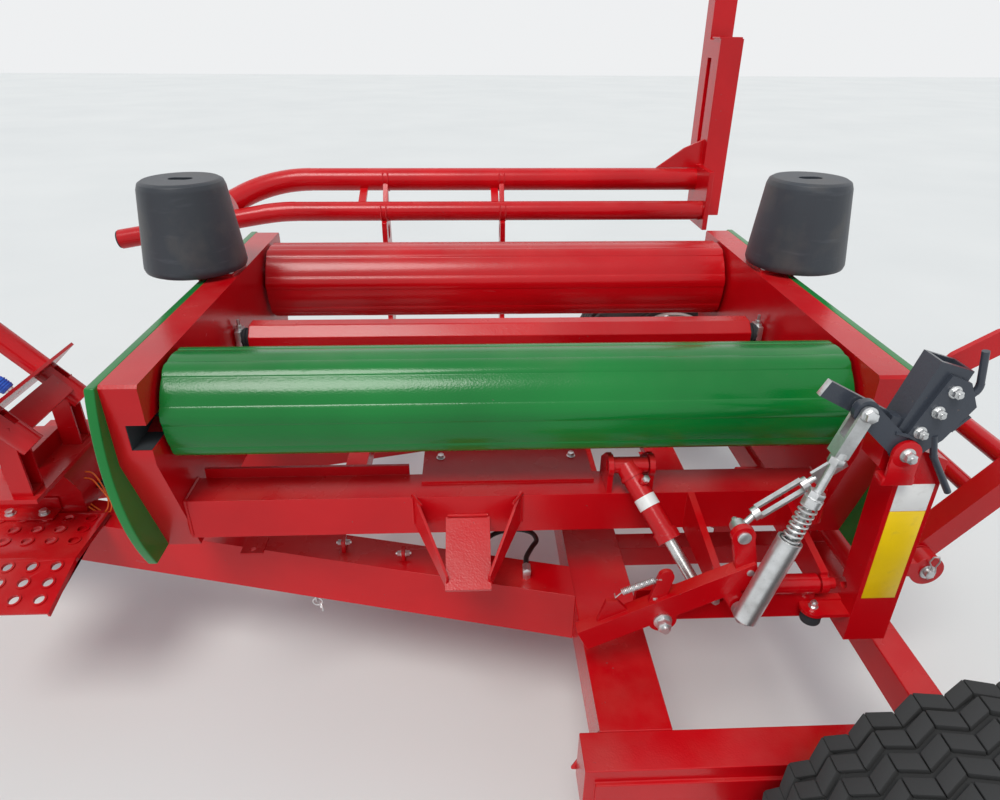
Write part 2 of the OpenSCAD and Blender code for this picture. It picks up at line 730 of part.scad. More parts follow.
module shaft_tube() place() color(paint) {
    translate([-cheek_x + 44, 0, mid_h]) rotate([0, 90, 0]) rotate(22.5)
        cylinder(h = 2 * cheek_x - 88, d = mid_d, $fn = 8);
    for (s = [1, -1])
        along_x(s > 0 ? cheek_x - 44 : -cheek_x, s > 0 ? cheek_x : -cheek_x + 44, 0, mid_h, shaft_d);
}

module roller(s, tint) place() translate([0, s * roller_gap / 2, roller_h]) {
    color(tint) translate([-roller_len / 2, 0, 0]) rotate([0, 90, 0]) linear_extrude(roller_len) {
        circle(d = roller_d - 2 * rib_h, $fn = 96);
        for (i = [0:rib_n - 1])
            rotate(i * 360 / rib_n) polygon([[roller_d / 2 - 3 * rib_h, -26], [roller_d / 2 - rib_h, -18],
                [roller_d / 2, -7], [roller_d / 2, 7], [roller_d / 2 - rib_h, 18], [roller_d / 2 - 3 * rib_h, 26]]);
    }
    color(zinc) along_x(-cheek_x - 35, cheek_x + 35, 0, 0, shaft_d);
}

module roller_left() roller(1, "green");

module roller_right() roller(-1, paint);

module cone(s) place() color("black") translate([s * cone_x, cone_y, cone_low]) difference() {
    rotate_extrude($fn = 96)
        polygon([[0, 0], [cone_foot_d / 2 - 12, 0], [cone_foot_d / 2 - 3, 4], [cone_foot_d / 2, 14],
            [cone_foot_d / 2 - 1, 26], [cone_top_d / 2 + 1, cone_h - 20], [cone_top_d / 2 - 4, cone_h - 6],
            [cone_top_d / 2 - 14, cone_h], [0, cone_h]]);
    translate([0, 0, -1]) cylinder(h = cone_h - 34, d = cone_pin_d + 2 * fit);
    for (x = [-14, 14])
        translate([x, 0, cone_h - 22]) cylinder(h = 30, d = 34);
    translate([-14, -17, cone_h - 22]) cube([28, 34, 30]);
}

module cone_front() cone(1);

module cone_rear() cone(-1);

// Cylinders of the tilting frame and the loading arm

module tilt_barrel() place() color(paint) {
    barrel(tilt_pivot, tilt_eye, tilt_barrel_len, ram_d, ram_rod_d);
    along_y(tilt_pivot[0], -30, 30, tilt_pivot[2], 44);
}

module tilt_rod() place() color(zinc) {
    piston(tilt_pivot, tilt_eye, tilt_rod_len, ram_rod_d);
    along_y(tilt_eye[0], -30, 30, tilt_eye[2], 40);
}

module arm_plate(x) place() color(paint) difference() {
    plate_yz([[-load_out - 28, load_h + 40], [-load_out - 90, load_h + 58], [-load_out - 100, load_in_z - 40],
        [-near_in - 38, load_in_z], [-near_out + 38, load_top], [-near_out + 8, load_h + 60], [-near_in, load_h - 28],
        [-load_out - 35, load_h - 26]], x, 20);
    along_x(-100, 500, -near_out, load_top, fork_d);
    along_x(-100, 500, -near_in, load_in_z, fork_in_d);
    along_x(-100, 500, -load_out, load_h, load_sleeve_d);
    for (z = [load_h + 150:130:load_h + 420])
        along_x(-100, 500, -near_in - 34, z, 60);
}

module arm_plate_front() arm_plate(420);

module arm_plate_rear() arm_plate(-60);

module loading_arm() place() color(paint) difference() {
    union() {
        along_x(-60, 440, -load_out, load_h, load_sleeve_d);
        for (x = [-74, 440])
            along_x(x, x + 14, -load_out, load_h, load_sleeve_d + 16);
        for (x = [load_ram_x - 45, load_ram_x + 33])
            difference() {
                plate_yz([[-load_out + 20, load_h - 10], [-load_out - load_eye + 5, load_h - load_eye - 25],
                    [-load_out - load_eye - 25, load_h - load_eye + 5], [-load_out - 20, load_h + 20]], x, 12);
                along_x(x - 1, x + 13, load_rod_eye[1], load_rod_eye[2], ram_pin_d);
            }
    }
    along_x(-100, 500, -load_out, load_h, load_shaft_d + 2 * fit);
}

module near_fork() place() color(paint) {
    bent_rod([[-870, -near_out, load_top], [890, -near_out, load_top], [1040, -near_in - 18, load_top - 66]],
        fork_d, fork_bend);
    bent_rod([[-870, -near_in, load_in_z], [850, -near_in, load_in_z], [1480, -near_in + 52, load_in_z - 96]],
        fork_in_d, 2 * fork_bend);
    for (x = [-20, 520])
        bar_to([x, -near_out, load_top - 20], [x, -near_in, load_in_z + 20], 30, 14);
}

module far_post() place() color(paint) {
    box([-890, -near_out - 55, load_top - 170], [-870, -near_in + 50, load_top + 60]);
    box([-980, -near_out - 45, load_top - 143], [-890, -near_out + 45, load_top + 530]);
    box([-975, -near_out - 49, load_top + 530], [-885, -near_out + 45, load_top + 536]);
    box([-980, -far_out - 45, load_top - 20], [-890, -far_out + 41, load_top + fork_gap]);
    for (z = [load_top - 10, load_top + 460])
        box([-980, -far_out + 41, z], [-890, -near_out - 45, z + 66]);
    plate_xz([[-890, load_top + 46], [-700, load_top + 46], [-810, load_top + 125], [-890, load_top + 160]],
        -near_out - 5, 10);
    plate_xz([[-890, load_top + fork_gap - 180], [-890, load_top + fork_gap - 96], [-760, load_top + fork_gap - 96]],
        -far_out - 5, 10);
}

module far_fork() place() color(paint)
    bent_rod([[-890, -far_out, load_top + fork_gap - 50], [960, -far_out, load_top + fork_gap - 50],
        [1200, -far_out + 170, load_top + fork_gap - 50]], fork_d, fork_bend);

module load_barrel() place() color(paint) {
    barrel(load_pivot, load_rod_eye, load_barrel_len, ram_d, ram_rod_d);
    along_x(load_ram_x - 28, load_ram_x + 28, -load_ram_y, load_ram_h, 44);
}

module load_rod() place() color(zinc) {
    piston(load_pivot, load_rod_eye, load_rod_len, ram_rod_d);
    along_x(load_ram_x - 28, load_ram_x + 28, load_rod_eye[1], load_rod_eye[2], 40);
}

// Cutter

module cutter_frame() place() color(paint) difference() {
    union() {
        along_x(-598, -412, cutter_pin_y, cutter_pin_h, 40);
        box([-598, bar_y, cutter_pin_h - 40], [-412, bar_y + bar_t, cutter_pin_h - 15]);
        plate_xz([[-660, cutter_pin_h - 80], [-235, cutter_pin_h - 80], [-235, cutter_pin_h],
            [-320, cutter_pin_h], [-355, cutter_pin_h - 35], [-660, cutter_pin_h - 35]], bar_y, bar_t);
        plate_xz([[-655 - post_w, roller_h - 375], [-655 - post_w, roller_h + 50], [knife_pin[0] - 25, knife_pin[1]],
            [knife_pin[0] + 25, knife_pin[1]], [-618, roller_h + 40], [-655, roller_h + 5], [-655, roller_h - 375]],
            post_in, cutter_out - post_in);
        eye_xz(knife_pin, post_in, cutter_out - post_in, 50);
        strip_xz([-720, roller_h + 30], [-706, roller_h + 150], 44, post_in, 10);
        strip_xz([-706, roller_h + 150], [-738, roller_h + 212], 44, post_in, 10);
        eye_xz([-706, roller_h + 150], post_in, 10, 44);
        strip_xz([-738, roller_h + 212], [-800, roller_h + 250], 44, post_in, 10);
        eye_xz([-738, roller_h + 212], post_in, 10, 44);
        strip_xz([-800, roller_h + 250], [-880, roller_h + 262], 44, post_in, 10);
        eye_xz([-800, roller_h + 250], post_in, 10, 44);
        box([-655, bar_y + 4, roller_h - 318], [-592, cutter_out - 4, roller_h - 310]);
        translate([-592, bar_y + 30, roller_h - 318]) cylinder(h = 8, d = 52);
        eye_xz(lever_pin, bar_y, lever_y - bar_y - seat, 40);
        eye_xz(lever_pin, bar_y, lever_y + lever_t + 6 - bar_y, 20);
        for (x = [-412, -358])
            plate_yz([[665, roller_h - 342], [bar_y, roller_h - 350], [bar_y, roller_h - 305], [665, roller_h - 308]], x, 10);
    }
    along_x(-700, -400, cutter_pin_y, cutter_pin_h, cutter_pin_d + 2 * fit);
    eye_xz(knife_pin, post_in - 1, cutter_out - post_in + 2, knife_pin_d + 2 * fit);
}

module knife_holder() place() color(dark) {
    a = knife_pin + [-12, 29];
    b = knife_pin + [-50, 154];
    eye_xz(knife_pin, post_in + 4, knife_y - post_in, knife_pin_d);
    difference() {
        strip_xz(a, b, 62, post_in + 18, knife_y - post_in - 14);
        strip_xz(a + (b - a) * 0.35, b + (b - a) * 0.1, 46, post_in + 25, knife_y - post_in - 30);
    }
    plate_xz([knife_pin + [20, -8], knife_pin + [-18, -16], knife_pin + [-60, 22], knife_pin + [-98, 84],
        knife_pin + [-76, 128], knife_pin + [-40, 142], knife_pin + [-6, 60]], knife_y, knife_t);
    eye_xz(knife_pin, knife_y, knife_t, 44);
    difference() {
        union() {
            strip_xz(knife_pin, spring_top_xz, 38, knife_y, knife_t);
            eye_xz(spring_top_xz, knife_y, knife_t, 42);
        }
        eye_xz(spring_top_xz, knife_y - 1, knife_t + 2, link_pin_d + 2 * link_play);
    }
    strip_xz(knife_pin + [20, 42], knife_pin + [147, 108], 30, knife_y - 26, 12);
    strip_xz(knife_pin + [-10, 40], knife_pin + [33, 50], 26, knife_y - 26, 26);
    bent_rod([[knife_pin[0] - 60, knife_y + 6, knife_pin[1] + 70], [knife_pin[0] - 96, knife_y + 6, knife_pin[1] + 116],
        [knife_pin[0] - 84, knife_y + 6, knife_pin[1] + 182]], prong_d, prong_bend);
    bent_rod([[knife_pin[0] - 44, knife_y + 9, knife_pin[1] + 30], [knife_pin[0] - 56, knife_y + 9, knife_pin[1] - 12],
        [knife_pin[0] - 104, knife_y + 9, knife_pin[1] - 86]], prong_d, prong_bend);
}

module cutter_lever() place() color(paint) difference() {
    union() {
        strip_xz([-126, roller_h - 356], [-451, roller_h - 192], 50, lever_y, lever_t);
        plate_xz([[-150, roller_h - 325], [-168, roller_h - 262], [-190, roller_h - 262], [-215, roller_h - 290]],
            lever_y + 9, 10);
        strip_xz([-262, roller_h - 280], [-278, roller_h - 206], 30, lever_y + 9, 10);
        eye_xz([-278, roller_h - 206], lever_y + 9, 10, 30);
        strip_xz([-430, roller_h - 200], ear_pin, 40, lever_y + 6, 14);
        eye_xz(ear_pin, lever_y + 6, 14, 44);
        eye_xz(ear_pin, lever_y - 22, 28, link_pin_d);
        eye_xz([spring_foot[0], spring_foot[2]], lever_y + lever_t - 1, 32, link_pin_d);
        eye_xz(lever_pin, lever_y, lever_t, 56);
        strip_xz([-395, roller_h - 225], [spring_foot[0], spring_foot[2]], 34, lever_y + 8, lever_t - 8);
        eye_xz([spring_foot[0], spring_foot[2]], lever_y + 8, lever_t - 8, 36);
    }
    eye_xz(lever_pin, lever_y - 1, lever_t + 2, 20 + 2 * fit);
}

module cutter_barrel() place() color(paint) {
    barrel(cutter_pivot, cutter_eye, 185, 46, 25);
    along_x(-298, -224, cutter_pivot[1], cutter_pivot[2], 36);
}

module cutter_rod() place() color(zinc) {
    piston(cutter_pivot, cutter_eye, 240, 25);
    along_x(-392, -364, cutter_eye[1], cutter_eye[2], 28);
}

module spring_tube() place() color(zinc) difference() {
    u = unit(spring_top - spring_foot);
    union() {
        rod_to(spring_foot, spring_foot + u * spring_tube_len, spring_d);
        along_y(spring_foot[0], lever_y + lever_t + 4, spring_foot[1], spring_foot[2], 34);
    }
    rod_to(spring_foot + u * (spring_tube_len - 30), spring_foot + u * (spring_tube_len + 10), spring_d - 8);
    along_y(spring_foot[0], lever_y, lever_y + lever_t + 32, spring_foot[2], link_pin_d + 2 * fit);
}

module spring_rod() place() color(zinc) {
    u = unit(spring_top - spring_foot);
    back = unit(spring_top_xz - [spring_foot[0], spring_foot[2]]);
    rod_to(spring_foot + u * (spring_tube_len - 30), spring_top - u * 70, 14);
    rod_to(spring_foot + u * 262, spring_foot + u * 276, 34);
    rod_to(spring_foot + u * 276, spring_foot + u * 290, 26);
    rod_to(spring_top - u * 104, spring_top - u * 80, 24);
    strip_xz(spring_top_xz - back * 88, spring_top_xz - back * 52, 26, knife_y - 8, knife_t + 16);
    for (y = [knife_y - 8, knife_y + knife_t + seat])
        union() {
            strip_xz(spring_top_xz - back * 60, spring_top_xz, 26, y, 6);
            eye_xz(spring_top_xz, y, 6, 26);
        }
    eye_xz(spring_top_xz, knife_y - 8, knife_t + 22, link_pin_d);
}

module turnbuckle() place() color(zinc) {
    a = [ear_pin[0], 716, ear_pin[1]];
    u = unit(tension_end - a);
    difference() {
        along_y(ear_pin[0], 716, 734, ear_pin[1], 30);
        along_y(ear_pin[0], 710, 740, ear_pin[1], link_pin_d + 2 * fit);
    }
    rod_to(a + u * 14 + [0, 8, 0], a + u * 44, 12);
    rod_to(a + u * 34, a + u * 48, 26);
    for (s = [1, -1])
        bar_to(a + u * 44 + [6, 0, 11] * s, a + u * 140 + [6, 0, 11] * s, 10, 6);
    rod_to(a + u * 136, a + u * 150, 26);
    rod_to(a + u * 148, a + u * 166, 12);
    bar_to(a + u * 162, tension_end, 6, 32);
}

// Dispenser's turning parts

module spindle() place() color(zinc) translate([film_x, 230, plate_h + 12.3]) {
    cylinder(h = film_w - 60, d = 50);
    cylinder(h = 10, d = 140);
    translate([0, 0, 10]) cylinder(h = 50, d1 = 84, d2 = 66);
    translate([0, 0, film_w - 110]) cylinder(h = 50, d1 = 66, d2 = 76);
}

module stretch_roller_a() place() color(zinc)
    translate([1480, 60, plate_h + 13]) cylinder(h = film_w + 45, d = 60);

module stretch_roller_b() place() color(zinc)
    translate([1480, 130, plate_h + 13]) cylinder(h = film_w + 45, d = 60);

drawbar_front();
leg_left();
leg_right();
cross_beam();
side_arm_left();
side_arm_right();
rear_beam();
rail_left();
rail_right();
tow_eye();
step();
outrigger();
load_shaft();
mast_base();
mast();
dispenser();
jack_sleeve();
jack_leg();
wheel_left();
wheel_right();
tyre_left();
tyre_right();
tilt_frame();
bearing();
spine();
beam_left();
beam_right();
cheek_front();
cheek_rear();
guard_front();
guard_rear();
shaft_tube();
roller_left();
roller_right();
cone_front();
cone_rear();
ramp();
tilt_barrel();
tilt_rod();
loading_arm();
arm_plate_front();
arm_plate_rear();
near_fork();
far_post();
far_fork();
load_barrel();
load_rod();
cutter_frame();
knife_holder();
cutter_lever();
cutter_barrel();
cutter_rod();
spring_tube();
spring_rod();
turnbuckle();
spindle();
stretch_roller_a();
stretch_roller_b();
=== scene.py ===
"""Looks of a trailed, self-loading turntable wrapper for round bales.

Every length is in metres in the frame's own axes. The tow eye is the origin, X points
forward, Y to the left side and Z up. ORIGIN is the point on the ground below the
turntable's axis, from which most places are measured.
"""

import logging
import math
from collections.abc import Iterable, Sequence
from dataclasses import dataclass, field
from enum import Enum

import bmesh
import bpy
from mathutils import Matrix, Vector


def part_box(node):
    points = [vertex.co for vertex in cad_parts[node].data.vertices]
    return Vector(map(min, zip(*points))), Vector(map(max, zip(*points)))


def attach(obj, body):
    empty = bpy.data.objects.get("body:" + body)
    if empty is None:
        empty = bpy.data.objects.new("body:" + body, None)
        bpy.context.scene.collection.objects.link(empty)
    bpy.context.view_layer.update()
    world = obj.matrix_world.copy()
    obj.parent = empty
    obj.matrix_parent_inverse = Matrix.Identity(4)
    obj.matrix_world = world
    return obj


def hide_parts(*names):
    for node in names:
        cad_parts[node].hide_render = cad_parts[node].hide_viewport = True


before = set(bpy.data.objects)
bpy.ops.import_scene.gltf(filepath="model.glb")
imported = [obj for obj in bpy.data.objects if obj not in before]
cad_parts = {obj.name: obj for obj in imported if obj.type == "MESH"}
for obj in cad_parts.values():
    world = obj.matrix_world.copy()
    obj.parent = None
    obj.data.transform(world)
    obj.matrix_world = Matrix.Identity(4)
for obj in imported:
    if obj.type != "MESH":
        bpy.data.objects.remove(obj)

LOG = logging.getLogger("wrapper")
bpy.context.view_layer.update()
ORIGIN = Vector((-2.350, 0.0, -0.450))

# a fastener's sizes, as shares of its width over the flats
WASHER_WIDE = 1.5
WASHER_HIGH = 0.12
NUT_HIGH = 0.72
HEAD_HIGH = 0.55
OVER_CORNERS = 1.155

Point = Sequence[float]
Colour = tuple[float, float, float]


def at(x: float, y: float, z: float) -> Vector:
    """Return a frame point from one measured from ORIGIN, in metres."""
    return ORIGIN + Vector((x, y, z))


def srgb(red: int, green: int, blue: int) -> Colour:
    """Turn an 8-bit display colour into a linear one.

    Args:
        red: Its red, 0 to 255.
        green: Its green.
        blue: Its blue.

    Returns:
        The linear colour.
    """
    return tuple(
        c / 12.92 if c <= 0.04045 else ((c + 0.055) / 1.055) ** 2.4
        for c in (v / 255 for v in (red, green, blue))
    )


class Shade:
    """One output of a material's node, with operators that add Math nodes."""

    def __init__(self, surface: "Surface", socket: bpy.types.NodeSocket) -> None:
        """Wrap a socket.

        Args:
            surface: The material that the socket belongs to.
            socket: The output socket.
        """
        self.surface = surface
        self.socket = socket

    def _math(self, operation: str, *terms: "Shade | float") -> "Shade":
        """Add a Math node.

        Args:
            operation: The node's operation.
            terms: Its inputs in order.

        Returns:
            The node's value.
        """
        return self.surface.make(
            "ShaderNodeMath", {"operation": operation}, dict(enumerate(terms))
        )

    def __add__(self, other: "Shade | float") -> "Shade":
        """Return the sum."""
        return self._math("ADD", self, other)

    __radd__ = __add__

    def __mul__(self, other: "Shade | float") -> "Shade":
        """Return the product."""
        return self._math("MULTIPLY", self, other)

    __rmul__ = __mul__

    def __sub__(self, other: "Shade | float") -> "Shade":
        """Return this less the other."""
        return self._math("SUBTRACT", self, other)

    def __rsub__(self, other: "Shade | float") -> "Shade":
        """Return the other less this."""
        return self._math("SUBTRACT", other, self)

    def span(self, low: float, high: float) -> "Shade":
        """Return a straight ramp.

        Args:
            low: The value at and below which it is 0.
            high: The value at and above which it is 1.

        Returns:
            The ramp.
        """
        return self.surface.make(
            "ShaderNodeMapRange",
            {"clamp": True},
            {"Value": self, "From Min": low, "From Max": high},
        )


class Surface:
    """A procedural material under construction."""

    def __init__(self, name: str) -> None:
        """Start an empty material.

        Args:
            name: The material's name.
        """
        self.material = bpy.data.materials.new(name)
        self.material.use_nodes = True
        self.tree = self.material.node_tree
        self.tree.nodes.clear()
        self.shader = self.add("ShaderNodeBsdfPrincipled", {}, {})
        output = self.add("ShaderNodeOutputMaterial", {}, {})
        self.tree.links.new(self.shader.outputs[0], output.inputs["Surface"])

    def add(
        self, kind: str, settings: dict[str, object], sockets: dict[str | int, object]
    ) -> bpy.types.Node:
        """Add a node.

        Args:
            kind: The node's type.
            settings: Its properties, which are set first.
            sockets: Values or links of its inputs, by name or index.

        Returns:
            The node.
        """
        node = self.tree.nodes.new(kind)
        for key, value in settings.items():
            setattr(node, key, value)
        for key, value in sockets.items():
            socket = node.inputs[key]
            if isinstance(value, Shade):
                self.tree.links.new(value.socket, socket)
            elif isinstance(value, tuple) and socket.type == "RGBA":
                socket.default_value = (*value, 1.0)
            else:
                socket.default_value = value
        return node

    def make(
        self,
        kind: str,
        settings: dict[str, object],
        sockets: dict[str | int, object],
        output: str | int = 0,
    ) -> Shade:
        """Add a node and return one of its outputs, with the arguments of add."""
        return Shade(self, self.add(kind, settings, sockets).outputs[output])

    def place(self, stretch: Point = (1.0, 1.0, 1.0)) -> Shade:
        """Return the piece's own coordinates.

        Args:
            stretch: Scale of a pattern along X, Y and Z.

        Returns:
            Coordinates in metres times the stretch.
        """
        own = self.make("ShaderNodeTexCoord", {}, {}, "Object")
        return self.make("ShaderNodeMapping", {}, {"Vector": own, "Scale": stretch})

    def noise(
        self, scale: float, detail: float = 3.0, stretch: Point = (1.0, 1.0, 1.0)
    ) -> Shade:
        """Return cloudy noise.

        Args:
            scale: Features per metre.
            detail: Octaves.
            stretch: Scale along X, Y and Z.

        Returns:
            Noise about 0.5.
        """
        return self.make(
            "ShaderNodeTexNoise",
            {},
            {"Vector": self.place(stretch), "Scale": scale, "Detail": detail},
        )

    def facing_up(self) -> Shade:
        """Return how far a face looks up in the piece's own axes, from -1 to 1."""
        normal = self.make("ShaderNodeTexCoord", {}, {}, "Normal")
        return self.make("ShaderNodeSeparateXYZ", {}, {0: normal}, "Z")

    def blend(
        self, share: Shade | float, first: Shade | Colour, second: Shade | Colour
    ) -> Shade:
        """Mix two colours.

        Args:
            share: How much of the second there is, from 0 to 1.
            first: The first colour.
            second: The second colour.

        Returns:
            The mixed colour.
        """
        return self.make(
            "ShaderNodeMix",
            {"data_type": "RGBA"},
            {0: share, 6: first, 7: second},
            2,
        )

    def relief(self, height: Shade, distance: float, strength: float = 1.0) -> Shade:
        """Return a normal bumped by height.

        Args:
            height: Height from 0 to 1.
            distance: Height of a full step in metres.
            strength: Share of the effect.

        Returns:
            The normal for a shader.
        """
        return self.make(
            "ShaderNodeBump",
            {},
            {"Height": height, "Distance": distance, "Strength": strength},
        )

    def finish(self, **sockets: object) -> bpy.types.Material:
        """Set the shader's inputs and return the material.

        Args:
            sockets: Values or links, named as the inputs are with _ for a space.

        Returns:
            The material.
        """
        for key, value in sockets.items():
            socket = self.shader.inputs[key.replace("_", " ")]
            if isinstance(value, Shade):
                self.tree.links.new(value.socket, socket)
            elif isinstance(value, tuple):
                socket.default_value = (*value, 1.0)
            else:
                socket.default_value = value
        return self.material


@dataclass(frozen=True)
class PaintFinish:
    """Glossy machine paint with dust, scuffs and chips."""

    name: str
    colour: Colour
    slot: str
    wear: float = 0.5
    gloss: float = 0.24

    def build(self) -> bpy.types.Material:
        """Return the material."""
        s = Surface(self.name)
        dark = tuple(c * 0.72 for c in self.colour)
        pale = tuple(min(1.0, c * 1.06 + 0.002) for c in self.colour)
        cloud = s.noise(2.3, 4.0)
        colour = s.blend(cloud.span(0.3, 0.75), dark, pale)
        up = s.facing_up().span(0.55, 0.98)
        dust = up * s.noise(7.0, 6.0).span(0.42, 0.78) * (0.16 * self.wear)
        colour = s.blend(dust, colour, srgb(196, 178, 160))
        streak = s.noise(26.0, 5.0, (0.25, 1.6, 1.6)).span(0.69, 0.735)
        rub = streak * s.noise(3.1, 2.0).span(0.5, 0.62) * (0.5 * self.wear)
        colour = s.blend(rub, colour, tuple(c * 0.45 + 0.06 for c in self.colour))
        chips = s.noise(95.0, 2.0).span(0.735, 0.75) * s.noise(5.0, 2.0).span(0.52, 0.6)
        chips = chips * self.wear
        colour = s.blend(chips, colour, srgb(96, 84, 82))
        roughness = cloud * 0.12 + (self.gloss - 0.06) + dust * 0.9 + rub * 0.4
        peel = s.noise(240.0, 1.0) + s.noise(34.0, 2.0) * 0.9 - chips * 1.6
        return s.finish(
            Base_Color=colour,
            Roughness=roughness,
            Specular_IOR_Level=0.32,
            Coat_Weight=0.1,
            Coat_Roughness=0.12,
            Normal=s.relief(peel, 0.0007, 0.35),
        )


@dataclass(frozen=True)
class MetalFinish:
    """Bare or plated steel with cloudy tarnish and drawn marks."""

    name: str
    bright: Colour
    tarnish: Colour
    slot: str
    rough: float = 0.34
    grain: Point = (1.0, 1.0, 1.0)

    def build(self) -> bpy.types.Material:
        """Return the material."""
        s = Surface(self.name)
        cloud = s.noise(38.0, 4.0)
        fine = s.noise(320.0, 3.0, self.grain)
        colour = s.blend(cloud.span(0.35, 0.8), self.bright, self.tarnish)
        colour = s.blend(fine.span(0.6, 0.85) * 0.3, colour, srgb(74, 72, 68))
        return s.finish(
            Base_Color=colour,
            Metallic=0.92,
            Roughness=cloud * 0.25 + fine * 0.12 + (self.rough - 0.12),
            Normal=s.relief(fine + cloud * 0.6, 0.0004, 0.4),
        )


@dataclass(frozen=True)
class MouldedFinish:
    """Moulded plastic or rubber with rub marks and settled dust."""

    name: str
    colour: Colour
    marks: Colour
    slot: str
    rough: float = 0.5
    dusty: float = 0.3
    grain: float = 420.0

    def build(self) -> bpy.types.Material:
        """Return the material."""
        s = Surface(self.name)
        cloud = s.noise(4.0, 5.0)
        colour = s.blend(
            cloud.span(0.3, 0.75), self.colour, tuple(c * 1.45 for c in self.colour)
        )
        rubs = s.noise(18.0, 6.0, (0.5, 0.5, 3.2)).span(0.6, 0.74) * 0.3
        colour = s.blend(rubs, colour, self.marks)
        dust = s.noise(11.0, 7.0).span(0.48, 0.8) * self.dusty
        colour = s.blend(dust, colour, srgb(150, 138, 120))
        skin = s.noise(self.grain, 2.0) + rubs * 0.8
        return s.finish(
            Base_Color=colour,
            Roughness=cloud * 0.14 + rubs * 0.35 + dust * 0.4 + (self.rough - 0.06),
            Normal=s.relief(skin, 0.0006, 0.4),
        )


@dataclass(frozen=True)
class FilmFinish:
    """A blank vinyl plate with slight fading and dirt."""

    name: str
    colour: Colour
    slot: str

    def build(self) -> bpy.types.Material:
        """Return the material."""
        s = Surface(self.name)
        fade = s.noise(14.0, 4.0)
        grime = s.noise(55.0, 6.0).span(0.56, 0.82) * 0.22
        colour = s.blend(
            fade.span(0.3, 0.8), self.colour, tuple(c * 0.86 for c in self.colour)
        )
        colour = s.blend(grime, colour, srgb(120, 104, 84))
        return s.finish(
            Base_Color=colour,
            Roughness=fade * 0.2 + grime * 0.6 + 0.22,
            Normal=s.relief(s.noise(90.0, 2.0), 0.0003, 0.3),
        )


class Finish(Enum):
    """The finishes of the machine."""

    RED = PaintFinish("red_enamel", srgb(204, 2, 16), "red_paint")
    GREEN = PaintFinish("green_enamel", srgb(4, 124, 48), "green_paint", 0.35, 0.2)
    WHITE = PaintFinish("white_enamel", srgb(226, 226, 218), "white_paint", 0.8, 0.3)
    GREY = PaintFinish("grey_enamel", srgb(64, 69, 78), "grey_paint", 0.7, 0.3)
    ZINC = MetalFinish("zinc_plate", srgb(224, 225, 226), srgb(184, 185, 184), "zinc", 0.28)
    ROD = MetalFinish(
        "chromed_rod", srgb(214, 214, 212), srgb(170, 170, 168), "bright_rod", 0.2
    )
    CONE = MouldedFinish(
        "cone_plastic", srgb(44, 48, 54), srgb(92, 96, 102), "black_rubber", 0.42, 0.16
    )
    RUBBER = MouldedFinish(
        "black_rubber", srgb(26, 26, 28), srgb(66, 64, 62), "black_rubber", 0.6, 0.3
    )
    TYRE = MouldedFinish(
        "tyre_rubber", srgb(78, 78, 80), srgb(116, 114, 112), "tyre_rubber", 0.74, 0.3
    )
    WHITE_FILM = FilmFinish("white_film", srgb(238, 238, 234), "white_paint")
    YELLOW_FILM = FilmFinish("yellow_film", srgb(246, 206, 12), "white_paint")
    HOSE = MouldedFinish(
        "hose_rubber", srgb(20, 20, 21), srgb(70, 70, 70), "black_rubber", 0.46, 0.12
    )
    BLUE = MouldedFinish(
        "blue_cap", srgb(16, 84, 188), srgb(60, 120, 200), "black_rubber", 0.4, 0.1
    )
    ORANGE_WIRE = MouldedFinish(
        "orange_wire", srgb(226, 96, 20), srgb(200, 110, 60), "black_rubber", 0.45, 0.1
    )

    def material(self) -> bpy.types.Material:
        """Return this finish's one material."""
        made = bpy.data.materials.get(self.value.name)
        return made or self.value.build()


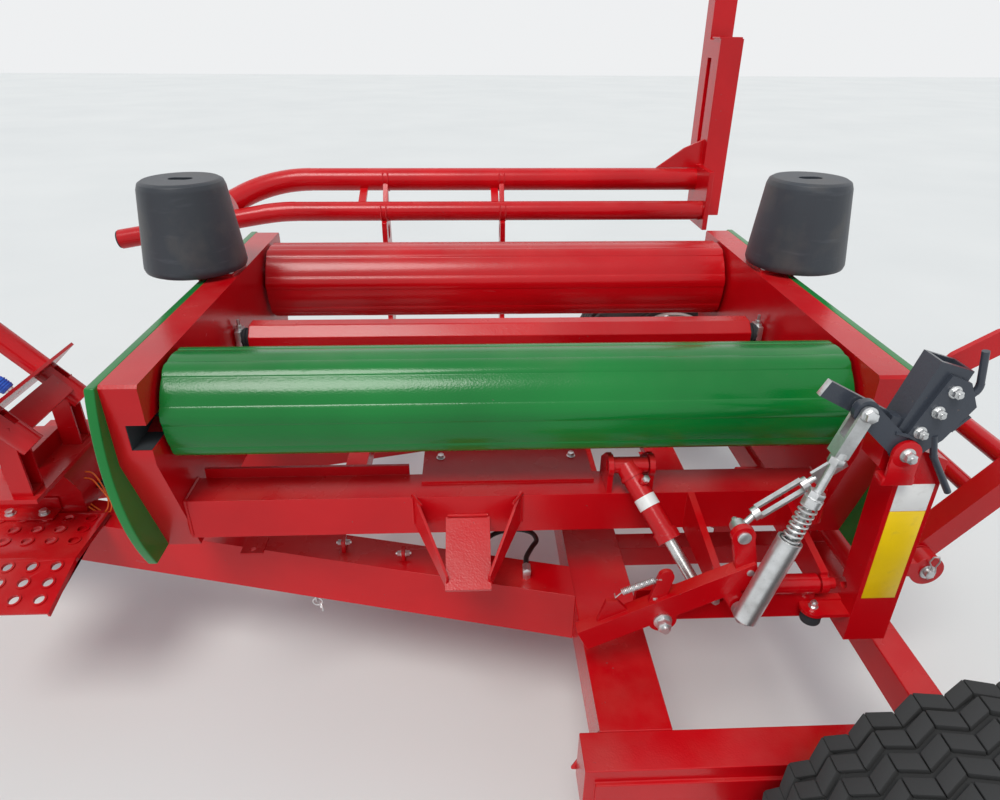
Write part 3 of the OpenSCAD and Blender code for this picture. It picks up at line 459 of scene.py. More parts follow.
class Shape:
    """A mesh made with bmesh operators."""

    def __init__(self) -> None:
        """Start an empty mesh."""
        self.mesh = bmesh.new()

    def block(
        self, low: Point, high: Point, edge: float = 0.0, turn: Matrix | None = None
    ) -> None:
        """Add a box with rounded edges.

        Args:
            low: Its lowest corner.
            high: Its highest corner.
            edge: Width of the rounding.
            turn: A transform that is applied last.
        """
        low, high = Vector(low), Vector(high)
        verts = bmesh.ops.create_cube(self.mesh, size=1.0)["verts"]
        bmesh.ops.scale(self.mesh, vec=high - low, verts=verts)
        bmesh.ops.translate(self.mesh, vec=(low + high) / 2, verts=verts)
        if turn is not None:
            bmesh.ops.transform(self.mesh, matrix=turn, verts=verts)
        if edge:
            self._round({e for v in verts for e in v.link_edges}, edge)

    def _round(self, edges: Iterable[bmesh.types.BMEdge], edge: float) -> None:
        """Round edges.

        Args:
            edges: The edges.
            edge: Width of the rounding.
        """
        bmesh.ops.bevel(
            self.mesh,
            geom=list(edges),
            offset=edge,
            segments=2,
            profile=0.5,
            affect="EDGES",
            clamp_overlap=True,
            material=-1,
        )

    def rod(
        self,
        start: Point,
        end: Point,
        width: float,
        sides: int = 24,
        end_width: float | None = None,
        edge: float = 0.0,
    ) -> None:
        """Add a round bar, a cone or, with few sides, a prism.

        Args:
            start: Middle of its first end.
            end: Middle of its last end.
            width: Diameter over its corners at the start.
            sides: Number of sides.
            end_width: Diameter at the end, or None for the same.
            edge: Width of the rounding of its two rims.
        """
        start, end = Vector(start), Vector(end)
        along = end - start
        turn = along.to_track_quat("Z", "Y").to_matrix().to_4x4()
        made = bmesh.ops.create_cone(
            self.mesh,
            cap_ends=True,
            segments=sides,
            radius1=width / 2,
            radius2=(width if end_width is None else end_width) / 2,
            depth=along.length,
            matrix=Matrix.Translation((start + end) / 2) @ turn,
        )["verts"]
        if edge:
            edges = {e for v in made for e in v.link_edges}
            self._round([e for e in edges if any(len(f.verts) > 4 for f in e.link_faces)], edge)

    def bolt(self, at_face: Point, way: Point, across: float, nut: bool = False) -> None:
        """Add a bolt's head on its washer, or a nut with the bolt's end.

        Args:
            at_face: The point where its axis meets the face.
            way: Direction out of the face.
            across: Width over the flats.
            nut: Whether the bolt's end stands out of it.
        """
        base, way = Vector(at_face), Vector(way).normalized()
        top = base + way * across * WASHER_HIGH
        self.rod(base - way * 0.002, top, across * WASHER_WIDE, 20, edge=across * 0.03)
        head = top + way * across * (NUT_HIGH if nut else HEAD_HIGH)
        self.rod(top, head, across * OVER_CORNERS, 6, edge=across * 0.06)
        if nut:
            self.rod(head - way * 0.001, head + way * across * 0.3, across * 0.58, 12)

    def tube(
        self, points: Sequence[Point], width: float, sides: int = 8, ripple: float = 0.0
    ) -> None:
        """Add a tube along points, with closed ends.

        Args:
            points: Its centre line.
            width: Its diameter.
            sides: Number of sides.
            ripple: Share by which every other ring is smaller, as on a weld.
        """
        line = [Vector(p) for p in points]
        ways = [
            (line[min(i + 1, len(line) - 1)] - line[max(i - 1, 0)]).normalized()
            for i in range(len(line))
        ]
        turn = ways[0].to_track_quat("Z", "Y")
        ring = bmesh.ops.create_circle(
            self.mesh, cap_ends=True, segments=sides, radius=width / 2
        )["verts"]
        first = Matrix.Translation(line[0]) @ turn.to_matrix().to_4x4()
        bmesh.ops.transform(self.mesh, matrix=first, verts=ring)
        face = ring[0].link_faces[0]
        bmesh.ops.reverse_faces(self.mesh, faces=[face])
        edges = list(face.edges)
        grown = 1.0
        for i in range(1, len(line)):
            new = bmesh.ops.extrude_edge_only(self.mesh, edges=edges)["geom"]
            ring = [g for g in new if isinstance(g, bmesh.types.BMVert)]
            edges = [
                g
                for g in new
                if isinstance(g, bmesh.types.BMEdge) and set(g.verts) <= set(ring)
            ]
            swing = ways[i - 1].rotation_difference(ways[i]).to_matrix().to_4x4()
            size = 1.0 - ripple if ripple and i % 2 else 1.0
            step = Matrix.Scale(size / grown, 4)
            grown = size
            move = Matrix.Translation(line[i]) @ swing @ step
            move = move @ Matrix.Translation(-line[i - 1])
            bmesh.ops.transform(self.mesh, matrix=move, verts=ring)
        bmesh.ops.contextual_create(self.mesh, geom=edges)

    def coil(
        self, start: Point, end: Point, width: float, wire: float, turns: float
    ) -> None:
        """Add a coil spring.

        Args:
            start: Middle of its first end.
            end: Middle of its last end.
            width: Diameter of the wire's middle line.
            wire: Diameter of the wire.
            turns: Number of turns.
        """
        start, end = Vector(start), Vector(end)
        turn = (end - start).to_track_quat("Z", "Y").to_matrix()
        steps = int(turns * 14)
        line = []
        for i in range(steps + 1):
            angle = math.tau * turns * i / steps
            arm = Vector((math.cos(angle) * width / 2, math.sin(angle) * width / 2, 0.0))
            line.append(start + (end - start) * (i / steps) + turn @ arm)
        self.tube(line, wire, 7)

    def weld(self, points: Sequence[Point], width: float = 0.009) -> None:
        """Add a rippled weld bead.

        Args:
            points: The points that it runs along.
            width: Its width.
        """
        line = [Vector(p) for p in points]
        dense: list[Vector] = []
        for first, last in zip(line, line[1:]):
            count = max(2, int((last - first).length / (width * 0.42)))
            dense += [first.lerp(last, i / count) for i in range(count)]
        self.tube([*dense, line[-1]], width, 6, 0.18)

    def turned(
        self, outline: Sequence[tuple[float, float]], middle: Point, way: Point, steps: int
    ) -> None:
        """Add a turned body.

        Args:
            outline: (distance along the axis, radius) of each corner of a closed ring.
            middle: Zero of the axis.
            way: Direction of the axis.
            steps: Number of steps round it.
        """
        turn = Vector(way).to_track_quat("Z", "Y").to_matrix().to_4x4()
        move = Matrix.Translation(Vector(middle)) @ turn
        verts = [self.mesh.verts.new(move @ Vector((r, 0.0, d))) for d, r in outline]
        edges = [
            self.mesh.edges.new((a, b)) for a, b in zip(verts, verts[1:] + verts[:1])
        ]
        before = set(self.mesh.faces)
        bmesh.ops.spin(
            self.mesh,
            geom=verts + edges,
            cent=Vector(middle),
            axis=Vector(way).normalized(),
            angle=math.tau,
            steps=steps,
            use_merge=True,
        )
        made = [f for f in self.mesh.faces if f not in before]
        bmesh.ops.recalc_face_normals(self.mesh, faces=made)

    def piece(
        self, name: str, body: str, finish: Finish, sharp: float = 35.0
    ) -> bpy.types.Object:
        """Finish the mesh as a piece of the machine.

        Args:
            name: The piece's name.
            body: The body that it rides on.
            finish: Its finish.
            sharp: Angle in degrees past which an edge stays sharp.

        Returns:
            The piece.
        """
        bmesh.ops.remove_doubles(self.mesh, verts=self.mesh.verts[:], dist=1e-6)
        data = bpy.data.meshes.new(name)
        self.mesh.to_mesh(data)
        self.mesh.free()
        data.polygons.foreach_set("use_smooth", [True] * len(data.polygons))
        data.set_sharp_from_angle(angle=math.radians(sharp))
        data.materials.append(finish.material())
        piece = bpy.data.objects.new(name, data)
        bpy.context.scene.collection.objects.link(piece)
        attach(piece, body)
        LOG.info("%s: %d faces on %s", name, len(data.polygons), body)
        return piece


@dataclass
class Frame:
    """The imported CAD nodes, which get their finishes and softened edges here."""

    edge: float = 0.003
    thin_edge: float = 0.0012
    plain: Finish = Finish.RED
    finishes: dict[str, Finish] = field(
        default_factory=lambda: {
            "tow_eye": Finish.ZINC,
            "load_shaft": Finish.ZINC,
            "jack_sleeve": Finish.GREY,
            "jack_leg": Finish.ZINC,
            "wheel_left": Finish.WHITE,
            "wheel_right": Finish.WHITE,
            "tyre_left": Finish.TYRE,
            "tyre_right": Finish.TYRE,
            "bearing": Finish.GREY,
            "guard_front": Finish.GREEN,
            "guard_rear": Finish.GREEN,
            "roller_left": Finish.GREEN,
            "cone_front": Finish.CONE,
            "cone_rear": Finish.CONE,
            "tilt_rod": Finish.ROD,
            "load_rod": Finish.ROD,
            "cutter_rod": Finish.ROD,
            "dispenser": Finish.GREY,
            "spindle": Finish.ZINC,
            "stretch_roller_a": Finish.ZINC,
            "stretch_roller_b": Finish.ZINC,
            "knife_holder": Finish.GREY,
            "spring_tube": Finish.ZINC,
            "spring_rod": Finish.ZINC,
            "turnbuckle": Finish.ZINC,
        }
    )
    thin: tuple[str, ...] = ("spring_rod", "turnbuckle", "knife_holder", "cone_front", "cone_rear")

    def dress(self) -> None:
        """Give every CAD node its finish and soft edges."""
        for name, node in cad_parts.items():
            finish = self.finishes.get(name, self.plain)
            node.data.materials.clear()
            node.data.materials.append(finish.material())
            node.data.polygons.foreach_set("use_smooth", [True] * len(node.data.polygons))
            self._soften(node, self.thin_edge if name in self.thin else self.edge)
            LOG.info("%s: %s", name, finish.value.name)

    def _soften(self, node: bpy.types.Object, edge: float) -> None:
        """Round a node's sharp edges with modifiers.

        Args:
            node: The CAD node.
            edge: Width of the rounding.
        """
        weld = node.modifiers.new("merge", "WELD")
        weld.merge_threshold = 0.00001
        flat = node.modifiers.new("flat", "DECIMATE")
        flat.decimate_type = "DISSOLVE"
        flat.angle_limit = math.radians(0.5)
        bevel = node.modifiers.new("edges", "BEVEL")
        bevel.width = edge
        bevel.segments = 2
        bevel.limit_method = "ANGLE"
        bevel.angle_limit = math.radians(35.0)
        bevel.use_clamp_overlap = True
        shade = node.modifiers.new("shade", "WEIGHTED_NORMAL")
        shade.keep_sharp = True
        shade.weight = 60


@dataclass
class Tyres:
    """The two flotation tyres, with ribs of tread that run in zigzags round them."""

    depth: float = 0.012
    bead: float = 0.205
    margin: float = 0.014
    shoulder: float = 0.010
    rows: int = 6
    blocks: int = 60
    slant: float = 0.46

    def build(self) -> None:
        """Make both tyres in place of their CAD nodes."""
        for side, node in (("left", "tyre_left"), ("right", "tyre_right")):
            low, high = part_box(node)
            tyre = self._tyre(low, high).piece(f"tread_{side}", f"{side}_wheel", Finish.TYRE)
            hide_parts(node)

    def _tyre(self, low: Vector, high: Vector) -> Shape:
        """Return a tyre that fills a box.

        Args:
            low: The box's lowest corner.
            high: The box's highest corner.

        Returns:
            The tyre's shape.
        """
        middle = (low + high) / 2
        half = (high.y - low.y) / 2
        outer = (high.z - low.z) / 2
        crown = outer - self.depth
        bead = self.bead
        wall = [
            (-half + 0.034, bead),
            (-half + 0.010, bead + 0.030),
            (-half, bead + 0.085),
            (-half + 0.006, crown - 0.050),
            (-half + 0.024, crown - 0.016),
            (-half + 0.060, crown - 0.003),
            (-half * 0.4, crown),
        ]
        ring = [*wall, *((-d, r) for d, r in reversed(wall))]
        inner = [(half - 0.060, bead + 0.012), (-half + 0.060, bead + 0.012)]
        shape = Shape()
        shape.turned([*ring, *inner], middle, (0.0, 1.0, 0.0), 96)
        for rib in (0.03, 0.045):
            for side in (-1, 1):
                spot = side * (half - 0.0015)
                radius = bead + rib
                edge = (spot + side * 0.0015, radius + 0.002)
                line = [(spot, radius), edge, (spot, radius + 0.004)]
                shape.turned(line, middle, (0.0, 1.0, 0.0), 96)
        self._tread(shape, middle, half, crown)
        return shape

    def _tread(self, shape: Shape, middle: Vector, half: float, crown: float) -> None:
        """Add the tread's blocks.

        Args:
            shape: The tyre's shape.
            middle: The tyre's middle.
            half: Half of its width.
            crown: Radius at the foot of the blocks.
        """
        pitch = math.tau / self.blocks
        width = 2 * (half - self.margin) / self.rows
        long = pitch * crown
        for row in range(self.rows):
            offset = -half + self.margin + width * (row + 0.5)
            drop = self.shoulder if row in (0, self.rows - 1) else 0.0
            for number in range(self.blocks):
                angle = pitch * number
                shear = Matrix.Identity(4)
                shear[1][0] = self.slant if number % 2 else -self.slant
                turn = (
                    Matrix.Translation(middle)
                    @ Matrix.Rotation(angle, 4, "Y")
                    @ Matrix.Translation((0.0, offset, crown))
                    @ shear
                )
                shape.block(
                    (-long * 0.495, -width * 0.36, -0.016 - drop),
                    (long * 0.495, width * 0.36, self.depth - 0.0006 - drop),
                    0.003,
                    turn,
                )


UP = Vector((0.0, 0.0, 1.0))
LEFT = Vector((0.0, 1.0, 0.0))
RIGHT = Vector((0.0, -1.0, 0.0))
FRONT = Vector((1.0, 0.0, 0.0))

BoltRow = tuple[Vector, Vector, float, bool]


def fasten(name: str, body: str, rows: Iterable[BoltRow]) -> None:
    """Make one piece of plated bolts and nuts.

    Args:
        name: The piece's name.
        body: The body that it rides on.
        rows: Each bolt's point on the face, its direction, its width over the
            flats, and whether it is a nut.
    """
    shape = Shape()
    for spot, way, across, nut in rows:
        shape.bolt(spot, way, across, nut)
    shape.piece(name, body, Finish.ZINC)


def smooth(points: Sequence[Vector], steps: int = 6) -> list[Vector]:
    """Return a smooth line through points.

    Args:
        points: The points.
        steps: Points of the line for each stretch.

    Returns:
        The line's points, ends included.
    """
    line: list[Vector] = []
    for i in range(len(points) - 1):
        before, start, end, after = (
            points[max(i - 1, 0)], points[i], points[i + 1], points[min(i + 2, len(points) - 1)]
        )
        for step in range(steps):
            t = step / steps
            line.append(
                0.5 * (
                    2 * start
                    + (end - before) * t
                    + (2 * before - 5 * start + 4 * end - after) * t ** 2
                    + (3 * start - before - 3 * end + after) * t ** 3
                )
            )
    return [*line, points[-1]]


def lay_cord(
    name: str, body: str, points: Sequence[Vector], width: float, finish: Finish
) -> None:
    """Make a hose or wire that leaves the machine and goes back into it.

    Args:
        name: The piece's name.
        body: The body that it rides on.
        points: The points that it passes.
        width: Its diameter.
        finish: Its finish.
    """
    line = smooth(points)
    shape = Shape()
    shape.tube(line, width, 12)
    cord = shape.piece(name, body, finish, 60.0)
    sum((b - a).length for a, b in zip(line, line[1:]))


@dataclass
class CutterFittings:
    """Bolts, springs, buffer and blank plates of the film cutter."""

    post_face: float = 0.760
    knife_face: float = 0.776
    foot: Vector = field(default_factory=lambda: at(-0.424, 0.795, 0.678))
    top: Vector = field(default_factory=lambda: at(-0.559, 0.770, 1.107))
    ear: tuple[float, float] = (-0.410, 0.837)
    pivot: tuple[float, float] = (-0.643, 1.030)
    cylinder_foot: Vector = field(default_factory=lambda: at(-0.250, 0.470, 0.812))
    cylinder_eye: Vector = field(default_factory=lambda: at(-0.385, 0.680, 0.625))
    barrel: float = 0.023
    clevis: float = 1.107
    lug: tuple[float, float] = (-0.592, 0.732)
    plate_sides: tuple[float, float] = (-0.730, -0.664)
    ear_half: float = 0.029

    def build(self) -> None:
        """Make every fitting."""
        self._post()
        self._knife()
        self._spring_link()
        self._lever()
        self._cylinder()

    def _post(self) -> None:
        """Make the post's ear, buffer, bolts and blank plates."""
        x, z = self.pivot
        ear = Shape()
        ear.rod(at(x, 0.7780, z), at(x, 0.7862, z), 0.050, 28, edge=0.001)
        ear.block(at(x - 0.0247, 0.7786, 0.972), at(x + 0.0247, 0.7857, z), 0.001)
        foot = at(x - self.ear_half, self.post_face - 0.001, 0.966)
        ear.block(foot, at(x + self.ear_half, 0.7850, 0.984), 0.003)
        ear.piece("pivot_ear", "cutter", Finish.RED)
        fasten("post_bolts", "cutter", [
            (at(x, 0.7862, z), LEFT, 0.018, True),
            (at(*self.lug, 0.640), UP, 0.013, True),
            (at(-0.279, 0.766, 0.645), LEFT, 0.024, True),
            (at(-0.395, 0.718, 0.652), LEFT, 0.014, False),
        ])
        buffer = Shape()
        buffer.rod(at(*self.lug, 0.632), at(*self.lug, 0.604), 0.040, 28, edge=0.003)
        buffer.piece("lug_buffer", "cutter", Finish.RUBBER)
        for name, low, high, finish in (
            ("white_plate", 0.894, 0.952, Finish.WHITE_FILM),
            ("yellow_plate", 0.686, 0.893, Finish.YELLOW_FILM),
        ):
            plate = Shape()
            left, right = self.plate_sides
            plate.block(
                at(left, self.post_face - 0.0004, low),
                at(right, self.post_face + 0.0009, high),
                0.0003,
            )
            plate.piece(name, "cutter", finish)

    def _knife(self) -> None:
        """Make the knife block's nuts, weld and bare prong end."""
        face = self.knife_face
        fasten("knife_nuts", "knife", [
            (at(x, face, z), LEFT, 0.015, True)
            for x, z in ((-0.695, 1.143), (-0.678, 1.106), (-0.659, 1.068))
        ])
        slope = math.atan2(0.066, 0.127)
        turn = Matrix.Translation(at(-0.496, 0.744, 1.138)) @ Matrix.Rotation(-slope, 4, "Y")
        tip = Shape()
        tip.block((-0.0003, -0.0062, -0.0152), (0.0012, 0.0062, 0.0152), 0.0004, turn)
        tip.piece("prong_end", "knife", Finish.ZINC)
        bead = Shape()
        bend = at(-0.640, face + 0.001, 1.062)
        bead.weld([at(-0.662, face, 1.050), bend, at(-0.618, face, 1.068)], 0.007)
        bead.weld([at(-0.737, 0.774, 1.096), at(-0.713, 0.774, 1.068)], 0.006)
        bead.piece("knife_welds", "knife", Finish.GREY)

    def _spring_link(self) -> None:
        """Make the coil spring, its nuts and the clevis bolt."""
        way = (self.top - self.foot).normalized()
        spring = Shape()
        spring.coil(self.foot + way * 0.162, self.foot + way * 0.262, 0.0295, 0.0046, 9.5)
        spring.piece("coil_spring", "spring_link", Finish.ZINC)
        nuts = Shape()
        nuts.rod(self.foot + way * 0.2765, self.foot + way * 0.2895, 0.0305, 6, edge=0.001)
        nuts.rod(self.top - way * 0.1035, self.top - way * 0.0905, 0.0285, 6, edge=0.001)
        start, end = self.foot + way * 0.002, self.foot - way * 0.009
        nuts.rod(start, end, 0.036, 24, end_width=0.026, edge=0.001)
        for number in range(16):
            spot = self.foot + way * (0.2915 + 0.004 * number)
            nuts.rod(spot, spot + way * 0.002, 0.0152, 16)
        nuts.piece("link_nuts", "spring_link", Finish.ZINC)
        fasten("clevis_bolt", "spring_link", [
            (at(-0.559, 0.784, self.clevis), LEFT, 0.019, False),
            (at(-0.559, 0.756, self.clevis), RIGHT, 0.019, True),
        ])

    def _lever(self) -> None:
        """Make the lever's bolts and the small return spring between its ears."""
        x, z = self.ear
        bolts = Shape()
        bolts.rod(at(x, 0.754, z), at(x, 0.7605, z), 0.026, 24, edge=0.002)
        bolts.bolt(at(x, 0.714, z), RIGHT, 0.014, True)
        bolts.bolt(at(-0.262, 0.750, 0.684), UP, 0.013, True)
        bolts.rod(at(-0.432, 0.762, 0.760), at(-0.432, 0.7662, 0.760), 0.014, 20, edge=0.001)
        bolts.piece("lever_bolts", "lever", Finish.ZINC)
        spring = Shape()
        left, right = at(-0.184, 0.750, 0.700), at(-0.268, 0.750, 0.741)
        near, far = left.lerp(right, 0.16), left.lerp(right, 0.88)
        spring.coil(near, far, 0.0115, 0.0024, 20)
        for start, end in ((left, near), (right, far)):
            middle = start.lerp(end, 0.5) + Vector((0.0, 0.004, 0.001))
            spring.tube([start - LEFT * 0.004, start + LEFT * 0.007, middle, end], 0.0024, 6)
        spring.piece("return_spring", "lever", Finish.ZINC)

    def _cylinder(self) -> None:
        """Make the cutter cylinder's blank band, port and port plug."""
        way = (self.cylinder_eye - self.cylinder_foot).normalized()
        band = Shape()
        inner, outer = self.barrel - 0.0004, self.barrel + 0.0006
        near, far = 0.080, 0.106
        ring = [(near, inner), (near, outer), (far, outer), (far, inner)]
        band.turned(ring, self.cylinder_foot, way, 40)
        band.piece("cylinder_band", "cutter_cylinder", Finish.WHITE_FILM)
        port = Shape()
        spot = self.cylinder_foot + way * 0.052
        out = (UP - way * way.dot(UP)).normalized()
        port.rod(spot + out * 0.016, spot + out * 0.033, 0.020, 20, edge=0.001)
        port.piece("cylinder_port", "cutter_cylinder", Finish.RED)
        cap = Shape()
        cap.rod(spot + out * 0.033, spot + out * 0.041, 0.017, 6, edge=0.001)
        cap.piece("port_plug", "cutter_cylinder", Finish.ZINC)


@dataclass
class TableFittings:
    """Bolts, bearings and welds of the rotating table."""

    cheek: float = 0.7085
    cheek_out: float = 0.7805
    beam_in: float = 0.400
    beam_out: float = 0.490
    beam_top: float = 0.750
    beam_low: float = 0.652
    axle: float = 0.925
    stud: float = 0.696

    def build(self) -> None:
        """Make every fitting."""
        rows: list[BoltRow] = [
            (at(x, 0.340, self.beam_top + 0.006), UP, 0.014, False) for x in (-0.150, 0.160)
        ]
        for side in (-1, 1):
            rows += [
                (at(side * (self.cheek + 0.024), y, 1.073), UP, 0.016, False)
                for y in (-0.195, -0.105)
            ]
            rows += [
                (at(side * (self.cheek + 0.0005), y, z), FRONT * -side, 0.010, False)
                for y, z in ((0.462, 1.000), (0.448, 0.900))
            ]
            rows.append((at(side * self.stud, 0.0, 0.951), UP, 0.014, True))
        fasten("table_bolts", "turntable", rows)
        self._bearings()
        self._notch_shade_plates()
        self._welds()

    def _bearings(self) -> None:
        """Make the third roller's dark end sleeves and their studs."""
        shape = Shape()
        for side in (-1, 1):
            for start in (0.668, 0.678):
                near, far = (at(side * x, 0.0, self.axle) for x in (start, start + 0.007))
                shape.rod(near, far, 0.056, 28, edge=0.001)
            shape.rod(at(side * 0.666, 0.0, self.axle), at(side * 0.690, 0.0, self.axle), 0.048, 28)
        shape.piece("end_sleeves", "turntable", Finish.RUBBER)
        studs = Shape()
        for side in (-1, 1):
            x = side * self.stud
            studs.rod(at(x, 0.0, self.axle), at(x, 0.0, 0.978), 0.009, 14)
            studs.block(at(x - 0.008, -0.024, 0.900), at(x + 0.008, 0.024, 0.951), 0.002)
        studs.piece("sleeve_studs", "turntable", Finish.ZINC)

    def _notch_shade_plates(self) -> None:
        """Line the notches at the cheeks' ends with thin black plates, painted shade that stands in
        for the shadow inside them.
        """
        shade_plates = Shape()
        for side in (-1, 1):
            for end in (-1, 1):
                for near, far in (
                    ((0.7472, 0.4436, 0.9246), (0.7482, 0.5590, 0.9794)),
                    ((0.7105, 0.4434, 0.9243), (0.7476, 0.5592, 0.9251)),
                    ((0.7103, 0.4433, 0.9789), (0.7474, 0.5588, 0.9796)),
                    ((0.7107, 0.4431, 0.9249), (0.7478, 0.4439, 0.9791)),
                ):
                    ends = [at(side * x, end * y, z) for x, y, z in (near, far)]
                    low, high = (Vector(map(pick, *ends)) for pick in (min, max))
                    shade_plates.block(low, high)
        # these black plates are painted shade: dark sheets where the notches are only in shadow
        shade_plates.piece("notch_painted_shade", "turntable", Finish.RUBBER)

    def _welds(self) -> None:
        """Lay the weld beads where the beams meet the cheeks and the funnel."""
        beads = Shape()
        x = self.cheek - 0.001
        for side in (-1, 1):
            for beam in (-1, 1):
                inner, outer = beam * self.beam_in, beam * self.beam_out
                beads.weld([
                    at(side * x, inner, self.beam_top),
                    at(side * x, outer, self.beam_top),
                    at(side * x, outer, self.beam_low + 0.006),
                ], 0.009)
        for side in (-1, 1):
            foot = at(0.097 + side * 0.120, self.beam_out, self.beam_top)
            beads.weld([foot, foot - UP * 0.070], 0.008)
            tip = Vector((-side * 0.073, 0.128, 0.0))
            beads.weld([foot + UP * 0.006, foot + UP * 0.006 + tip * 0.3], 0.007)
        ends = [at(x, self.beam_out + 0.001, 0.699) for x in (0.052, 0.142)]
        beads.weld(ends, 0.008)
        for side in (-1, 1):
            for y in (-0.2105, -0.0895):
                beads.weld([
                    at(side * (self.cheek + 0.012), y, 1.066),
                    at(side * (self.cheek_out - 0.004), y, 1.066),
                ], 0.007)
        beads.piece("table_welds", "turntable", Finish.RED)


@dataclass
class WheelFittings:
    """Wheel nuts, hub caps and valves."""

    track: float = 2.260
    centre: tuple[float, float] = (-0.780, 0.390)
    circle: float = 0.104
    studs: int = 6
    cap_circle: float = 0.055
    cap_bolts: int = 5

    def build(self) -> None:
        """Make both wheels' fittings."""
        x, z = self.centre
        for side, name in ((1, "left"), (-1, "right")):
            way = LEFT * side
            face = side * (self.track / 2 + 0.006)
            hub = side * (self.track / 2 + 0.060)
            rows: list[BoltRow] = []
            for count, radius, y, across, nut in (
                (self.studs, self.circle, face, 0.022, True),
                (self.cap_bolts, self.cap_circle, hub, 0.010, False),
            ):
                for number in range(count):
                    angle = math.tau * number / count
                    spot = at(x + radius * math.cos(angle), y, z + radius * math.sin(angle))
                    rows.append((spot, way, across, nut))
            fasten(f"wheel_nuts_{name}", f"{name}_wheel", rows)
            cap = Shape()
            middle = at(x, hub, z)
            cap.rod(middle - way * 0.001, middle + way * 0.006, 0.140, 48, edge=0.002)
            cap.rod(middle, middle + way * 0.024, 0.078, 40, end_width=0.070, edge=0.005)
            cap.piece(f"hub_cap_{name}", f"{name}_wheel", Finish.RED)
            valve = Shape()
            stem = at(x + 0.160, face + side * 0.020, z + 0.040)
            valve.rod(stem - way * 0.020, stem + way * 0.012, 0.009, 14)
            valve.rod(stem + way * 0.006, stem + way * 0.018, 0.012, 14, edge=0.001)
            valve.piece(f"valve_{name}", f"{name}_wheel", Finish.RUBBER)


